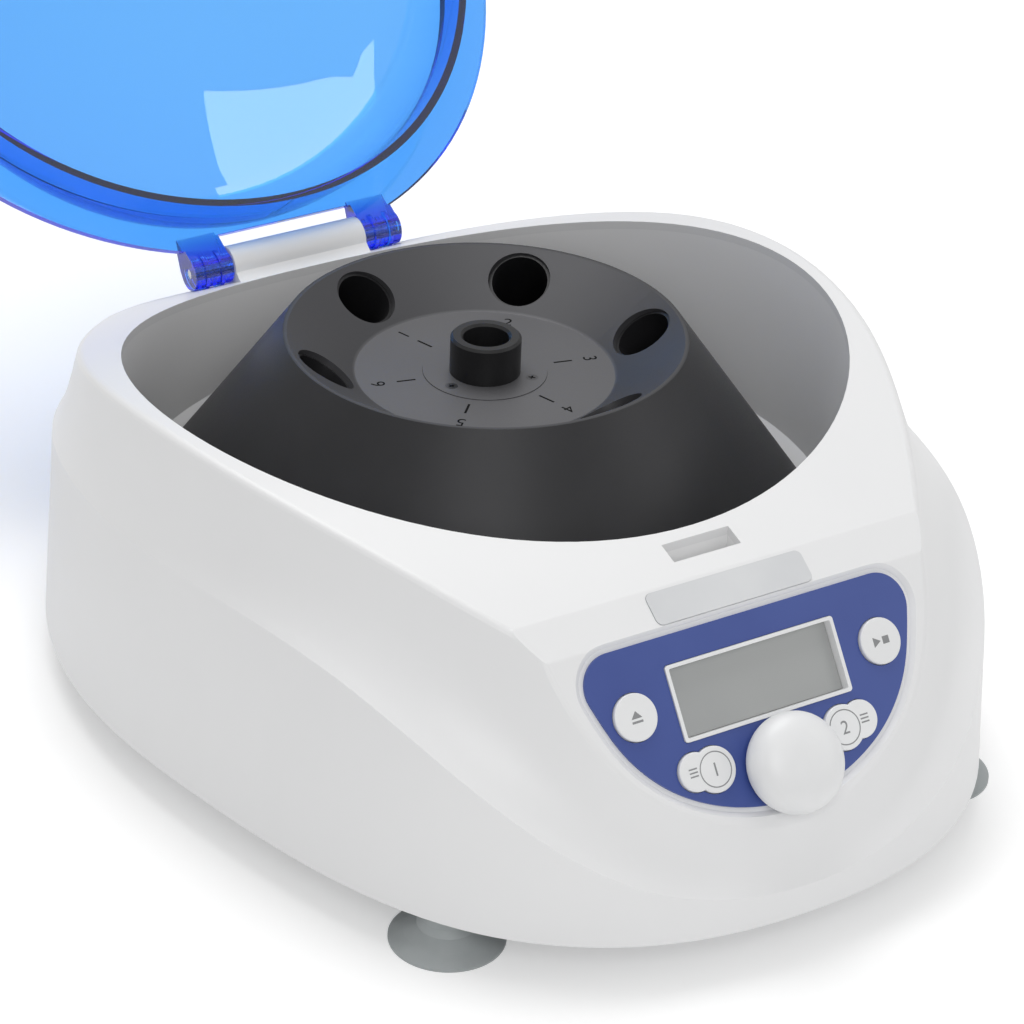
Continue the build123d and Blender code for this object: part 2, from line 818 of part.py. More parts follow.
def tube_sleeve(i):
    """Tube pocket: round-bottomed cup that fits one angled hole."""
    outer = hole_radius - shaft_fit
    bore = outer - pocket_wall
    top = -sleeve_set_down
    low = -pocket_length + outer

    def quarter(radius):
        side = radius * math.sqrt(0.5)
        return ThreePointArc((radius, 0, low), (side, 0, low - side), (0, 0, low - radius))

    lines = [
        Line((bore, 0, top), (outer, 0, top)),
        Line((outer, 0, top), (outer, 0, low)),
        quarter(outer),
        Line((0, 0, low - outer), (0, 0, low - bore)),
        quarter(bore),
        Line((bore, 0, low), (bore, 0, top)),
    ]
    cup = revolve(make_face(lines), Axis.Z)
    return pocket_axis(i) * cup


def hub_disc():
    disc = rod(hub_disc_radius, hub_seat_z, hub_seat_z + hub_disc_thickness)
    disc -= rod(collar_radius + 0.02, hub_seat_z, hub_seat_z + hub_disc_thickness)
    for angle in hub_screw_angles:
        disc -= Rot(0, 0, angle) * Pos(hub_screw_circle, 0, 0) * hub_screw_blank(0.02)
    return disc


def hub_screw_blank(grow=0.0):
    high = hub_seat_z + hub_disc_thickness
    return turned((
        (0, hub_seat_z - 7 + grow), (hub_screw_shank + grow, hub_seat_z - 7 + grow),
        (hub_screw_shank + grow, hub_seat_z + 0.3), (hub_screw_radius + grow, high), (0, high),
    ))


def hub_screws():
    parts = []
    for angle in hub_screw_angles:
        high = hub_seat_z + hub_disc_thickness
        screw = hub_screw_blank() - Pos(0, 0, high) * cross_recess(2.6, 0.7)
        parts.append(Rot(0, 0, angle) * Pos(hub_screw_circle, 0, 0) * screw)
    return Compound(children=parts)


def hub_collar():
    top = hub_seat_z + collar_height
    edge = 0.9
    return turned((
        (collar_bore, hub_seat_z), (collar_radius, hub_seat_z), (collar_radius, top - edge),
        (collar_radius - edge, top), (collar_bore + edge, top), (collar_bore, top - edge),
    ))


def lock_nut():
    nut = extrude(RegularPolygon(nut_flats / 2, 6, major_radius=False), nut_height)
    nut -= Cylinder(thread_radius + 0.02, nut_height * 3)
    return Pos(0, 0, nut_seat_z) * nut


# Control panel pieces

def control_overlay():
    sheet = panel_slab(shield(), -panel_recess, -panel_recess + overlay_thickness)
    return sheet - panel_holes(-5, 5)


def display_bezel():
    """White frame that stands round the display window, with its flange behind the panel."""
    outer = RectangleRounded(display_width, display_height, 1.2)
    hole = RectangleRounded(display_width - 2 * bezel_wall, display_height - 2 * bezel_wall, 0.6)
    frame = panel_slab(outer, -display_depth - 1, bezel_top)
    flange = RectangleRounded(display_width + 2.5, display_height + 1.8, 1.2)
    frame += panel_slab(flange, -display_depth - 1, -display_depth)
    return frame - panel_slab(hole, -display_depth - 2, bezel_top + 1)


def display_module():
    window = Rectangle(display_width - 2 * bezel_wall - 0.4, display_height - 2 * bezel_wall - 0.4)
    body = Rectangle(display_width + 1.5, display_height + 0.8)
    glass = panel_slab(window, -display_depth - 1, -display_depth)
    return glass + panel_slab(body, -board_depth, -display_depth - 1)


def control_board():
    """Circuit board behind the panel with its switches under each button."""
    outline = offset(shield(), -4) - Pos(0, 18) * Rectangle(44, 10)
    board = panel_slab(outline, -board_depth - board_thickness, -board_depth)
    holes = [(s * u, v) for s in (-1, 1) for u, v in board_posts]
    board -= [panel_rod(post_screw + 0.1, -board_depth - board_thickness, -board_depth, *h) for h in holes]
    for u, v in switch_places():
        board += panel_block(u - 3, u + 3, v - 3, v + 3, -board_depth, -board_depth + 2)
        board += panel_rod(1.6, -board_depth + 2, -board_depth + switch_height, u, v)
    return board


def switch_places():
    return [
        (-round_button_u, 0), (round_button_u, 0),
        (-ring_lobe_u - 3, lobe_v), (ring_lobe_u + 3, lobe_v),
    ]


def button(outline, collar, u, v):
    """Cap in the panel, collar that keeps it in and stem down to its switch."""
    cap = panel_slab(outline, -housing_wall - 0.1, -panel_recess + overlay_thickness + button_proud)
    rim = cap.faces().sort_by(panel_axis())[-1].edges()
    cap = fillet(rim, 0.5)
    cap += panel_slab(collar, -housing_wall - 1.1, -housing_wall - 0.1)
    stem_end = -board_depth + switch_height + button_travel + 0.15
    return cap + panel_rod(2.2, stem_end, -housing_wall - 1, u, v)


def panel_axis():
    frame = panel_frame()
    return Axis(frame.origin, frame.z_dir)


def round_button(side):
    return button(round_spot(side), round_spot(side, 1.1), side * round_button_u, 0)


def program_button(side):
    return button(lobed(0, side), lobed(1.1, side), side * (ring_lobe_u + 3), lobe_v)


def encoder():
    body = panel_block(-6.5, 6.5, knob_v - 6.5, knob_v + 6.5, -board_depth, -housing_wall - 0.4)
    bush = panel_rod(encoder_bush_radius, -housing_wall - 1, bush_top, 0, knob_v)
    bore = encoder_shaft_radius + shaft_fit
    return body + bush - panel_rod(bore, -board_depth + 1, bush_top + 1, 0, knob_v)


def encoder_shaft():
    return panel_rod(encoder_shaft_radius, -board_depth + 1.5, knob_bore_top - 0.02, 0, knob_v)


def knob():
    """Domed knob turned from one profile, hollow round its bore."""
    low = -panel_recess + overlay_thickness + knob_gap
    top = low + knob_height
    wide = low + knob_widest
    base = knob_radius - 2.2
    inner = knob_radius - 2.6
    bore = encoder_shaft_radius + 0.02
    cap_edge = knob_radius * 0.7
    cap = (cap_edge ** 2 + knob_crown ** 2) / (2 * knob_crown)
    half_angle = math.asin(cap_edge / cap) / 2
    cap_middle = (cap * math.sin(half_angle), 0, top - cap + cap * math.cos(half_angle))
    shoulder = ((cap_edge + knob_radius) / 2 + 1.0, 0, (top - knob_crown + wide) / 2 + 1.3)
    lines = [
        ThreePointArc((base, 0, low), (knob_radius - 0.5, 0, low + knob_widest / 2), (knob_radius, 0, wide)),
        ThreePointArc((knob_radius, 0, wide), shoulder, (cap_edge, 0, top - knob_crown)),
        ThreePointArc((cap_edge, 0, top - knob_crown), cap_middle, (0, 0, top)),
        Polyline(
            (0, 0, top), (0, 0, knob_bore_top), (bore, 0, knob_bore_top), (bore, 0, low + 2),
            (boss_wall, 0, low + 2), (boss_wall, 0, wide), (inner, 0, wide),
            (base - 2.2, 0, low), (base, 0, low),
        ),
    ]
    return on_panel(Pos(0, knob_v, 0) * revolve(make_face(lines), Axis.Z))


# Latch

def slot_box(grow, low, high):
    return block(
        -slot_width / 2 - grow, slot_width / 2 + grow,
        slot_y - slot_length / 2 - grow, slot_y + slot_length / 2 + grow, low, high,
    )


def latch_housing():
    body = slot_box(latch_wall, slot_floor_z - latch_wall, deck_top_z) & under_top(housing_wall)
    body -= slot_box(0, slot_floor_z, deck_top_z)
    gap = bar_gap
    front = slot_y - slot_length / 2
    window = block(
        -bar_width / 2 - gap, bar_width / 2 + gap, front - latch_wall - 1, front + 1,
        bar_z - gap, bar_z + bar_thickness + gap,
    )
    return body - window


def latch_bar():
    """Bolt with its leg and the plunger that the solenoid drives."""
    tip = slot_y - slot_length / 2 - bar_gap
    bolt = block(-bar_width / 2, bar_width / 2, tip - bar_length, tip, bar_z, bar_z + bar_thickness)
    bolt = chamfer(bolt.edges().filter_by(Axis.Z).sort_by(Axis.Y)[-2:], 1.0)
    half = plunger_side / 2
    leg_back = latch_leg_back()
    leg = block(
        -latch_leg_width / 2, latch_leg_width / 2, leg_back - latch_leg_thickness, leg_back,
        plunger_z - half, bar_z,
    )
    plunger = block(-half, half, leg_back, leg_back + plunger_length, plunger_z - half, plunger_z + half)
    return bolt + leg + plunger


def latch_leg_back():
    return slot_y - slot_length / 2 - bar_gap - bar_length + latch_leg_thickness


def solenoid():
    """Coil block under the slot, clear of the bolt's leg over its whole travel."""
    half = solenoid_width / 2
    high = slot_floor_z - latch_wall
    front = latch_leg_back() + latch_travel + bar_gap
    body = block(-half, half, front, front + solenoid_length, high - solenoid_height, high)
    side = plunger_side / 2 + bar_gap
    tunnel = block(-side, side, front, front + solenoid_length, plunger_z - side, plunger_z + side)
    return body - tunnel


def lid_switch():
    """Microswitch beside the slot, with its three terminals below."""
    x0 = slot_width / 2 + latch_wall
    low = slot_floor_z + 1
    half = lid_switch_width / 2
    body = block(x0, x0 + lid_switch_length, slot_y - half, slot_y + half, low, low + lid_switch_height)
    pins = []
    for k in range(3):
        x = x0 + lid_switch_pin_pitch * (k + 0.5)
        pins.append(block(x, x + 1, slot_y - half / 2, slot_y + half / 2, low - lid_switch_pin_length, low))
    return body + pins


# Lid, drawn closed

def lid_shell():
    """Domed lid: skirt inside the opening, flange along the deck and two hinge ears."""
    dome = dome_solid(0) - dome_solid(lid_wall)
    dome -= under_top(lid_skirt_depth)
    band = rod(lid_flange_radius, bowl_floor_z, deck_top_z + 40)
    flange = (band & under_top(-lid_deck_gap - lid_flange_thickness)) - under_top(-lid_deck_gap)
    flange -= dome_solid(lid_wall / 2)
    shell = dome + [flange, ear(-1), ear(1)]
    knuckle_x = knuckle_half_width + ear_gap
    reach = ear_inner_x + ear_width + 1
    slit_x = tongue_width / 2 + 0.05
    slit_y = tongue_thickness / 2 + 0.05
    cut = [
        block(-knuckle_x, knuckle_x, opening_radius + 0.3, hinge_y + 20, hinge_z - 20, hinge_z + 20),
        cross_rod(hinge_pin_radius + shaft_fit, -reach, reach, hinge_y, hinge_z),
        block(-slit_x, slit_x, slot_y - slit_y, slot_y + slit_y, slot_floor_z, deck_top_z + 20),
    ]
    cut += [striker_screw_place(x) * rod(striker_screw_radius + 0.02, -20, 20) for x in striker_screw_x]
    return shell - cut


def dome_solid(inward):
    """Spherical cap with a round shoulder, on a cylinder that runs down through the opening."""
    radius = opening_radius - lid_skirt_clearance - inward
    height = dome_height - inward
    shoulder = dome_shoulder_radius - inward
    reach = radius - shoulder
    cap = (reach ** 2 + height ** 2 - shoulder ** 2) / (2 * (height - shoulder))
    centre = height - cap
    lean = math.atan2(reach, -centre)
    low = bowl_floor_z - dome_centre_z

    def on_cap(angle):
        return (cap * math.sin(angle), centre + cap * math.cos(angle))

    def on_shoulder(angle):
        return (reach + shoulder * math.sin(angle), shoulder * math.cos(angle))

    middle = (lean + math.pi / 2) / 2
    lines = [
        ThreePointArc(on_cap(0), on_cap(lean / 2), on_cap(lean)),
        ThreePointArc(on_cap(lean), on_shoulder(middle), (radius, 0)),
        Polyline((radius, 0), (radius, low), (0, low), on_cap(0)),
    ]
    side = Plane(origin=(0, 0, dome_centre_z), x_dir=(0, 1, 0), z_dir=(1, 0, 0))
    return revolve(side.location * make_face(lines), Axis.Z)


def ear(side):
    """Hinge ear: barrel round the pin and the arm that carries the flange."""
    x0 = ear_inner_x if side > 0 else -ear_inner_x - ear_width
    barrel = cross_rod(ear_radius, x0, x0 + ear_width, hinge_y, hinge_z)
    start = opening_radius - 1.0
    low = deck_z(start) + lid_deck_gap
    arm = along_x(
        (
            (start, low), (hinge_y - 4.5, hinge_z - 4.6), (hinge_y, hinge_z - 4),
            (hinge_y, hinge_z + ear_radius), (hinge_y - 3, hinge_z + ear_radius),
            (start, low + lid_flange_thickness + 1),
        ),
        x0, x0 + ear_width,
    )
    ribs = []
    for i in range(2):
        x = x0 + ear_width * (0.3 + 0.4 * i)
        ribs.append(cross_rod(ear_radius + 0.9, x - 0.8, x + 0.8, hinge_y, hinge_z))
    return barrel + arm + ribs


def lid_striker():
    """Tongue with a window for the bolt, hanging from a plate on the flange."""
    half = tongue_width / 2
    top = -lid_deck_gap - lid_flange_thickness
    plate = block(-striker_plate_x, striker_plate_x, slot_y - 2.2, slot_y + 6, bowl_floor_z, deck_top_z + 40)
    plate = (plate & under_top(top - striker_plate_thickness)) - under_top(top)
    low = bar_z - striker_window_gap - 2.2
    tongue = block(-half, half, slot_y - tongue_thickness / 2, slot_y + tongue_thickness / 2, low, deck_top_z)
    tongue = tongue & under_top(top - 0.5)
    gap = striker_window_gap
    window = block(
        -bar_width / 2 - gap, bar_width / 2 + gap, slot_y - 5, slot_y + 5,
        bar_z - gap, bar_z + bar_thickness + gap,
    )
    holes = [striker_screw_place(x) * rod(striker_screw_radius + 0.02, -20, 20) for x in striker_screw_x]
    return (plate + tongue) - [window, *holes]


def striker_screw_place(x):
    """Location on top of the striker plate, square to its curved surface."""
    y = slot_y + 1.5
    lean = -math.degrees(math.asin((y - deck_top_y) / deck_arc_radius))
    rise = lid_deck_gap + lid_flange_thickness + striker_plate_thickness
    return Pos(x, y, deck_z(y)) * Rot(lean, 0, 0) * Pos(0, 0, rise)


def striker_screws():
    parts = []
    for x in striker_screw_x:
        head = rod(striker_head_radius, 0.1, 1.3)
        head = fillet(head.faces().sort_by(Axis.Z)[-1].edges(), 0.4)
        head -= Pos(0, 0, 1.3) * cross_recess(2.6, 0.7)
        parts.append(striker_screw_place(x) * (head + rod(striker_screw_radius, -4.6, 0.2)))
    return Compound(children=parts)


def hinge_pin():
    reach = ear_inner_x + ear_width - 0.3
    return cross_rod(hinge_pin_radius, -reach, reach, hinge_y, hinge_z)


def opened(shape):
    """Swing a closed lid piece back about the hinge axis."""
    return Pos(0, hinge_y, hinge_z) * Rot(-lid_open_angle, 0, 0) * Pos(0, -hinge_y, -hinge_z) * shape


# Mains side

def inlet_body(grow=0.0):
    half_x = inlet_width / 2 - inlet_flange_lap + grow
    half_z = inlet_height / 2 - inlet_flange_lap + grow
    return block(
        inlet_x - half_x, inlet_x + half_x, recess_y - inlet_depth, recess_y + 0.5,
        recess_z - half_z, recess_z + half_z,
    )


def power_inlet():
    """Mains inlet: flange, hollow socket and its three pins."""
    front = recess_y + inlet_flange
    flange = block(
        inlet_x - inlet_width / 2, inlet_x + inlet_width / 2, recess_y, front,
        recess_z - inlet_height / 2, recess_z + inlet_height / 2,
    )
    flange = fillet(flange.edges().filter_by(Axis.Y), inlet_corner)
    half = socket_width / 2
    tall = socket_height / 2
    cut = socket_corner
    outline = Polyline(
        (-half, -tall), (half, -tall), (half, tall - cut), (half - cut, tall),
        (cut - half, tall), (-half, tall - cut), close=True,
    )
    mouth = Plane(origin=(inlet_x, front, recess_z), x_dir=(1, 0, 0), z_dir=(0, -1, 0))
    hole = mouth.location * extrude(make_face(outline), socket_depth)
    back = front - socket_depth
    pins = []
    for x, z in pin_places:
        pins.append(block(
            inlet_x + x - pin_width / 2, inlet_x + x + pin_width / 2, back - 1, back + pin_length,
            recess_z + z - pin_height / 2, recess_z + z + pin_height / 2,
        ))
    return (flange + inlet_body() - hole) + pins


def switch_body(grow=0.0):
    return block(
        rocker_x - rocker_width / 2 - grow, rocker_x + rocker_width / 2 + grow,
        recess_y - switch_depth, recess_y + 0.5,
        recess_z - rocker_height / 2 - grow, recess_z + rocker_height / 2 + grow,
    )


def switch_frame():
    """Snap-in frame of the mains switch, open for its rocker."""
    half_x = rocker_width / 2
    half_z = rocker_height / 2
    lap = switch_wall
    flange = block(
        rocker_x - half_x - lap, rocker_x + half_x + lap, recess_y, recess_y + switch_flange,
        recess_z - half_z - lap, recess_z + half_z + lap,
    )
    flange = fillet(flange.edges().filter_by(Axis.Y), switch_corner)
    well = block(
        rocker_x - half_x + switch_wall, rocker_x + half_x - switch_wall,
        recess_y - switch_depth + 2, recess_y + switch_flange,
        recess_z - half_z + switch_wall, recess_z + half_z - switch_wall,
    )
    reach = half_x - switch_wall + 0.8
    seat_radius = trunnion_radius + shaft_fit
    seat = cross_rod(seat_radius, rocker_x - reach, rocker_x + reach, rocker_pivot_y, recess_z)
    return flange + switch_body() - well - seat


def switch_rocker():
    """Rocker with a shallow V face, turned to its off side."""
    half = rocker_width / 2 - switch_wall - rocker_gap
    radius = rocker_height / 2 - switch_wall - rocker_gap
    drum = cross_rod(radius, rocker_x - half, rocker_x + half, rocker_pivot_y, recess_z)
    dip = rocker_pivot_y + rocker_dip
    shoulder = dip + radius * math.tan(math.radians(rocker_angle))
    back = rocker_pivot_y - 5
    wedge = along_x(
        (
            (back, recess_z - radius), (shoulder, recess_z - radius), (dip, recess_z),
            (shoulder, recess_z + radius), (back, recess_z + radius),
        ),
        rocker_x - half, rocker_x + half,
    )
    reach = rocker_width / 2 - switch_wall + 0.5
    trunnions = cross_rod(trunnion_radius, rocker_x - reach, rocker_x + reach, rocker_pivot_y, recess_z)
    turn = Pos(0, rocker_pivot_y, recess_z) * Rot(rocker_angle, 0, 0) * Pos(0, -rocker_pivot_y, -recess_z)
    return turn * ((drum & wedge) + trunnions)


def power_board():
    half_x = power_board_width / 2
    half_y = power_board_length / 2
    return block(
        -half_x, half_x, power_board_y - half_y, power_board_y + half_y,
        power_board_z, power_board_z + board_thickness,
    )


def capacitors():
    z = power_board_z + board_thickness
    parts = []
    for x in cap_places:
        can = rod(cap_radius, z, z + cap_height, x, power_board_y)
        parts.append(fillet(can.faces().sort_by(Axis.Z)[-1].edges(), 0.8))
    return Compound(children=parts)


def heat_sink():
    z = power_board_z + board_thickness
    low = power_board_y - sink_length / 2
    high = low + sink_length
    starts = [sink_x + fin_pitch * i for i in range(fin_count)]
    fins = [block(x, x + fin_thickness, low, high, z, z + sink_height) for x in starts]
    return block(sink_x, starts[-1] + fin_thickness, low, high, z, z + sink_base) + fins


def pieces():
    """Every separate piece by name, before the model is moved to its origin."""
    nodes = {
        "housing": housing(),
        "name_plate": name_plate(),
        "chamber_bowl": chamber_bowl(),
        "bowl_standoffs": bowl_standoffs(),
        "shaft_boot": shaft_boot(),
        "base_pan": base_pan(),
        "base_screws": base_screws(),
        "motor_plate": motor_plate(),
        "motor_can": motor_can(),
        "motor_bearings": motor_bearings(),
        "drive_shaft": drive_shaft(),
        "rotor_body": rotor_body(),
        "hub_disc": hub_disc(),
        "hub_screws": hub_screws(),
        "hub_collar": hub_collar(),
        "lock_nut": lock_nut(),
        "control_overlay": control_overlay(),
        "display_bezel": display_bezel(),
        "display_module": display_module(),
        "control_board": control_board(),
        "door_button": round_button(-1),
        "start_button": round_button(1),
        "program_button_1": program_button(-1),
        "program_button_2": program_button(1),
        "encoder": encoder(),
        "encoder_shaft": encoder_shaft(),
        "knob": knob(),
        "latch_housing": latch_housing(),
        "latch_bar": latch_bar(),
        "solenoid": solenoid(),
        "lid_switch": lid_switch(),
        "lid_shell": opened(lid_shell()),
        "lid_striker": opened(lid_striker()),
        "striker_screws": opened(striker_screws()),
        "hinge_pin": hinge_pin(),
        "power_inlet": power_inlet(),
        "switch_frame": switch_frame(),
        "switch_rocker": switch_rocker(),
        "power_board": power_board(),
        "capacitors": capacitors(),
        "heat_sink": heat_sink(),
    }
    for i, (x, y) in enumerate(foot_places):
        nodes[f"foot_{i + 1}"] = foot(x, y)
    for i, (x, y) in enumerate(damper_places()):
        nodes[f"damper_{i + 1}"] = damper(x, y)
    for i in range(hole_count):
        nodes[f"tube_sleeve_{i + 1}"] = tube_sleeve(i)
    return nodes


def main():
    os.makedirs("parts", exist_ok=True)
    nodes = pieces()
    lid_box = nodes["lid_shell"].bounding_box()
    middle_y = (lid_box.max.Y - front_reach) / 2
    for name, shape in nodes.items():
        export_step(Pos(0, -middle_y, 0) * shape, f"parts/{name}.step")
    print("rotor axis at y", round(-middle_y, 3))


main()
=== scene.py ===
import json
import math

import bpy
import numpy as np
from mathutils import Matrix, Vector


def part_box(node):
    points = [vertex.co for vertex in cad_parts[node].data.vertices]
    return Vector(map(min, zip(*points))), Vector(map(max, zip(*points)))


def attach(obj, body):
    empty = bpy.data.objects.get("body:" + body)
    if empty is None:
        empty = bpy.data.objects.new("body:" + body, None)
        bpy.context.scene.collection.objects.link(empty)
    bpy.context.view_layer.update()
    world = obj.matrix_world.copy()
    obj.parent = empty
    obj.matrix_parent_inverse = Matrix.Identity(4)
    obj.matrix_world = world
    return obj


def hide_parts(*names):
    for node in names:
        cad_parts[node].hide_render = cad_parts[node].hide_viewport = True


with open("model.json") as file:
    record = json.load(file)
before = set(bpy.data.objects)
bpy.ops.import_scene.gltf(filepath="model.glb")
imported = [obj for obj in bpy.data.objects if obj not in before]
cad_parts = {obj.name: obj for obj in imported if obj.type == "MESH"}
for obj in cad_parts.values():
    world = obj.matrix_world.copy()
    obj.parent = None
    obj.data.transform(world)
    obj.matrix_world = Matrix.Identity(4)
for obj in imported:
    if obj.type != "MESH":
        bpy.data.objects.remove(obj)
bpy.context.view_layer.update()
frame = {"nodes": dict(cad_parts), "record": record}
nodes = frame["nodes"]
mm = 0.001

# Landmarks of the machine in the frame, all worked out from its own nodes
rotorLow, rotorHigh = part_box("rotor_body")
rotorCentre = (rotorLow + rotorHigh) / 2
hubDiscProud = 0.3 * mm
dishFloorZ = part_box("hub_disc")[1].z - hubDiscProud
rotorAxisFoot = Vector((rotorCentre.x, rotorCentre.y, 0))
print("frame loaded:", len(nodes), "nodes, rotor at", [round(v, 4) for v in rotorCentre])


# Shader sums: a Link is one output socket, and arithmetic on it adds Math nodes

def addNode(tree, kind, settings=None, values=None, output=0):
    node = tree.nodes.new(kind)
    for name, value in (settings or {}).items():
        setattr(node, name, value)
    for name, value in (values or {}).items():
        if isinstance(value, Link):
            tree.links.new(value.socket, node.inputs[name])
        else:
            node.inputs[name].default_value = value
    return Link(tree, node.outputs[output])


class Link:
    def __init__(self, tree, socket):
        self.tree = tree
        self.socket = socket

    def math(self, operation, *values):
        return addNode(self.tree, "ShaderNodeMath", {"operation": operation}, dict(enumerate(values)))

    def __add__(self, other):
        return self.math("ADD", self, other)

    def __radd__(self, other):
        return self.math("ADD", other, self)

    def __sub__(self, other):
        return self.math("SUBTRACT", self, other)

    def __rsub__(self, other):
        return self.math("SUBTRACT", other, self)

    def __mul__(self, other):
        return self.math("MULTIPLY", self, other)

    def __rmul__(self, other):
        return self.math("MULTIPLY", other, self)


class Finish:  # one material: constants sit on the shader's own sockets, patterns are linked in
    def __init__(self, name, constants):
        self.material = bpy.data.materials.new(name)
        self.material.use_nodes = True
        self.tree = self.material.node_tree
        self.shader = self.tree.nodes["Principled BSDF"]
        for socket, value in constants.items():
            isColour = isinstance(value, tuple)
            self.shader.inputs[socket].default_value = (*value, 1) if isColour else value
        self.place = self.add("ShaderNodeTexCoord", output="Object")

    def add(self, kind, settings=None, values=None, output=0):
        return addNode(self.tree, kind, settings, values, output)

    def feed(self, socket, link):
        self.tree.links.new(link.socket, self.shader.inputs[socket])

    def noise(self, scale, detail=2.0, roughness=0.5, stretch=(1, 1, 1), distortion=0.0):
        at = self.add("ShaderNodeMapping", values={"Vector": self.place, "Scale": stretch})
        return self.add("ShaderNodeTexNoise", values={
            "Vector": at, "Scale": scale, "Detail": detail, "Roughness": roughness,
            "Distortion": distortion,
        })

    def cells(self, scale, feature="F1"):
        values = {"Vector": self.place, "Scale": scale}
        return self.add("ShaderNodeTexVoronoi", {"feature": feature}, values)

    # A value moved from one span to another, held at both ends
    def span(self, link, low, high, toLow=0.0, toHigh=1.0):
        return self.add("ShaderNodeMapRange", values={0: link, 1: low, 2: high, 3: toLow, 4: toHigh})

    def blend(self, factor, first, second):
        values = {0: factor}
        for index, colour in ((6, first), (7, second)):
            values[index] = (*colour, 1) if isinstance(colour, tuple) else colour
        return self.add("ShaderNodeMix", {"data_type": "RGBA"}, values, 2)

    # Distance from an upright axis through a point, in metres
    def radius(self, centre):
        flat = self.add("ShaderNodeVectorMath", {"operation": "SUBTRACT"}, {0: self.place, 1: centre})
        flat = self.add("ShaderNodeVectorMath", {"operation": "MULTIPLY"}, {0: flat, 1: (1, 1, 0)})
        return self.add("ShaderNodeVectorMath", {"operation": "LENGTH"}, {0: flat}, "Value")

    def bump(self, height, distance, strength):
        values = {"Height": height, "Distance": distance, "Strength": strength}
        self.feed("Normal", self.add("ShaderNodeBump", values=values))

    # Base colour that drifts from the look's first colour to its second
    def tint(self, pattern, look, low=0.3, high=0.7):
        mixed = self.blend(self.span(pattern, low, high), look["colour"], look["drift"])
        self.feed("Base Color", mixed)

    # Roughness about a middle, moved up and down by patterns that run from 0 to 1
    def rough(self, middle, *patterns):
        for pattern, amount in patterns:
            middle = (pattern - 0.5) * amount + middle
        self.feed("Roughness", middle)


# Finishes, one function for each kind of surface

def mouldedPlastic(name, look):
    # Colour drifts a little; the skin has a fine spark-eroded grain and faint rubbed marks
    finish = Finish(name, {
        "Coat Weight": look["coat"], "Coat Roughness": look["coatRoughness"],
        "Specular IOR Level": look["shine"],
    })
    cloud = finish.noise(look["cloudScale"], detail=4.0, roughness=0.55)
    grain = finish.noise(look["grainScale"], detail=2.0, roughness=0.6)
    rubs = finish.noise(look["rubScale"], 3.0, 0.7, look["rubStretch"], distortion=0.6)
    rubbed = finish.span(rubs, *look["rubSpan"])
    finish.tint(cloud, look)
    middle = look["roughness"] + rubbed * look["rubRough"]
    finish.rough(middle, (cloud, look["cloudRough"]), (grain, look["grainRough"]))
    finish.bump(grain + rubbed * look["rubDepth"], look["grainDepth"], look["grainStrength"])
    return finish


def satinBlack(name, look):
    # Bead-blasted and anodised: a fine even grain, with the lathe's rings just showing through
    finish = Finish(name, {"Metallic": look["metallic"]})
    grain = finish.noise(look["grainScale"], detail=3.0, roughness=0.65)
    cloud = finish.noise(look["cloudScale"], detail=3.0)
    if look["centre"] is None:
        rings = finish.noise(look["ringNoise"])
    else:
        away = finish.radius(look["centre"])
        wave = away * (2 * math.pi / look["ringPitch"])
        rings = wave.math("SINE", wave) * 0.5 + 0.5
    finish.tint(cloud, look)
    finish.rough(look["roughness"], (cloud, look["cloudRough"]), (grain, look["grainRough"]))
    finish.bump(grain + rings * look["ringDepth"], look["grainDepth"], look["grainStrength"])
    return finish


def rotorSatin(name, look):
    # Painted light: the dish and its sloping wall face up towards the overhead lamp, so they get lighter
    # colours than the cone round them, standing in for that light
    finish = satinBlack(name, look)
    away = finish.radius(look["centre"])
    cone = Link(finish.tree, finish.shader.inputs["Base Color"].links[0].from_socket)
    inPaintedLightSlope = finish.span(away, look["rimRadius"], look["rimRadius"] + look["blendWidth"], 1, 0)
    inPaintedLightDish = finish.span(away, look["dishRadius"], look["dishRadius"] + look["blendWidth"], 1, 0)
    slope = finish.blend(inPaintedLightSlope, cone, look["slopePaintedLightColour"])
    finish.feed("Base Color", finish.blend(inPaintedLightDish, slope, look["dishPaintedLightColour"]))
    return finish


def brushedMetal(name, look):
    # Fine lines along one direction, with a slow change of brightness under them
    finish = Finish(name, {"Metallic": 1.0})
    lines = finish.noise(look["lineScale"], detail=4.0, roughness=0.6, stretch=look["stretch"])
    cloud = finish.noise(look["cloudScale"], detail=3.0)
    finish.tint(lines, look, *look["lineSpan"])
    finish.rough(look["roughness"], (lines, look["lineRough"]), (cloud, look["cloudRough"]))
    finish.bump(lines, look["lineDepth"], look["lineStrength"])
    return finish


def clearBlue(name, look):
    # Tinted all through: thin walls look light, edges and folds look deep
    finish = Finish(name, {
        "Base Color": look["surface"], "Transmission Weight": look["clear"], "IOR": look["bending"],
    })
    haze = finish.noise(look["hazeScale"], detail=3.0)
    specks = finish.noise(look["speckScale"])
    finish.feed("Roughness", look["roughness"] + finish.span(haze, *look["hazeSpan"]) * look["hazeRough"])
    finish.bump(haze + specks * look["speckShare"], look["rippleDepth"], look["rippleStrength"])
    inside = finish.add("ShaderNodeVolumeAbsorption", values={
        "Color": (*look["tint"], 1), "Density": look["density"],
    })
    finish.tree.links.new(inside.socket, finish.tree.nodes["Material Output"].inputs["Volume"])
    return finish


def softRubber(name, look):
    # Matt skin with a faint bloom and a grain that catches dust
    finish = Finish(name, {"Specular IOR Level": look["shine"]})
    bloom = finish.noise(look["bloomScale"], detail=4.0, roughness=0.6)
    grain = finish.noise(look["grainScale"])
    finish.tint(bloom, look, *look["bloomSpan"])
    finish.rough(look["roughness"], (bloom, look["bloomRough"]), (grain, look["grainRough"]))
    finish.bump(grain + bloom * look["bloomDepth"], look["grainDepth"], look["grainStrength"])
    return finish


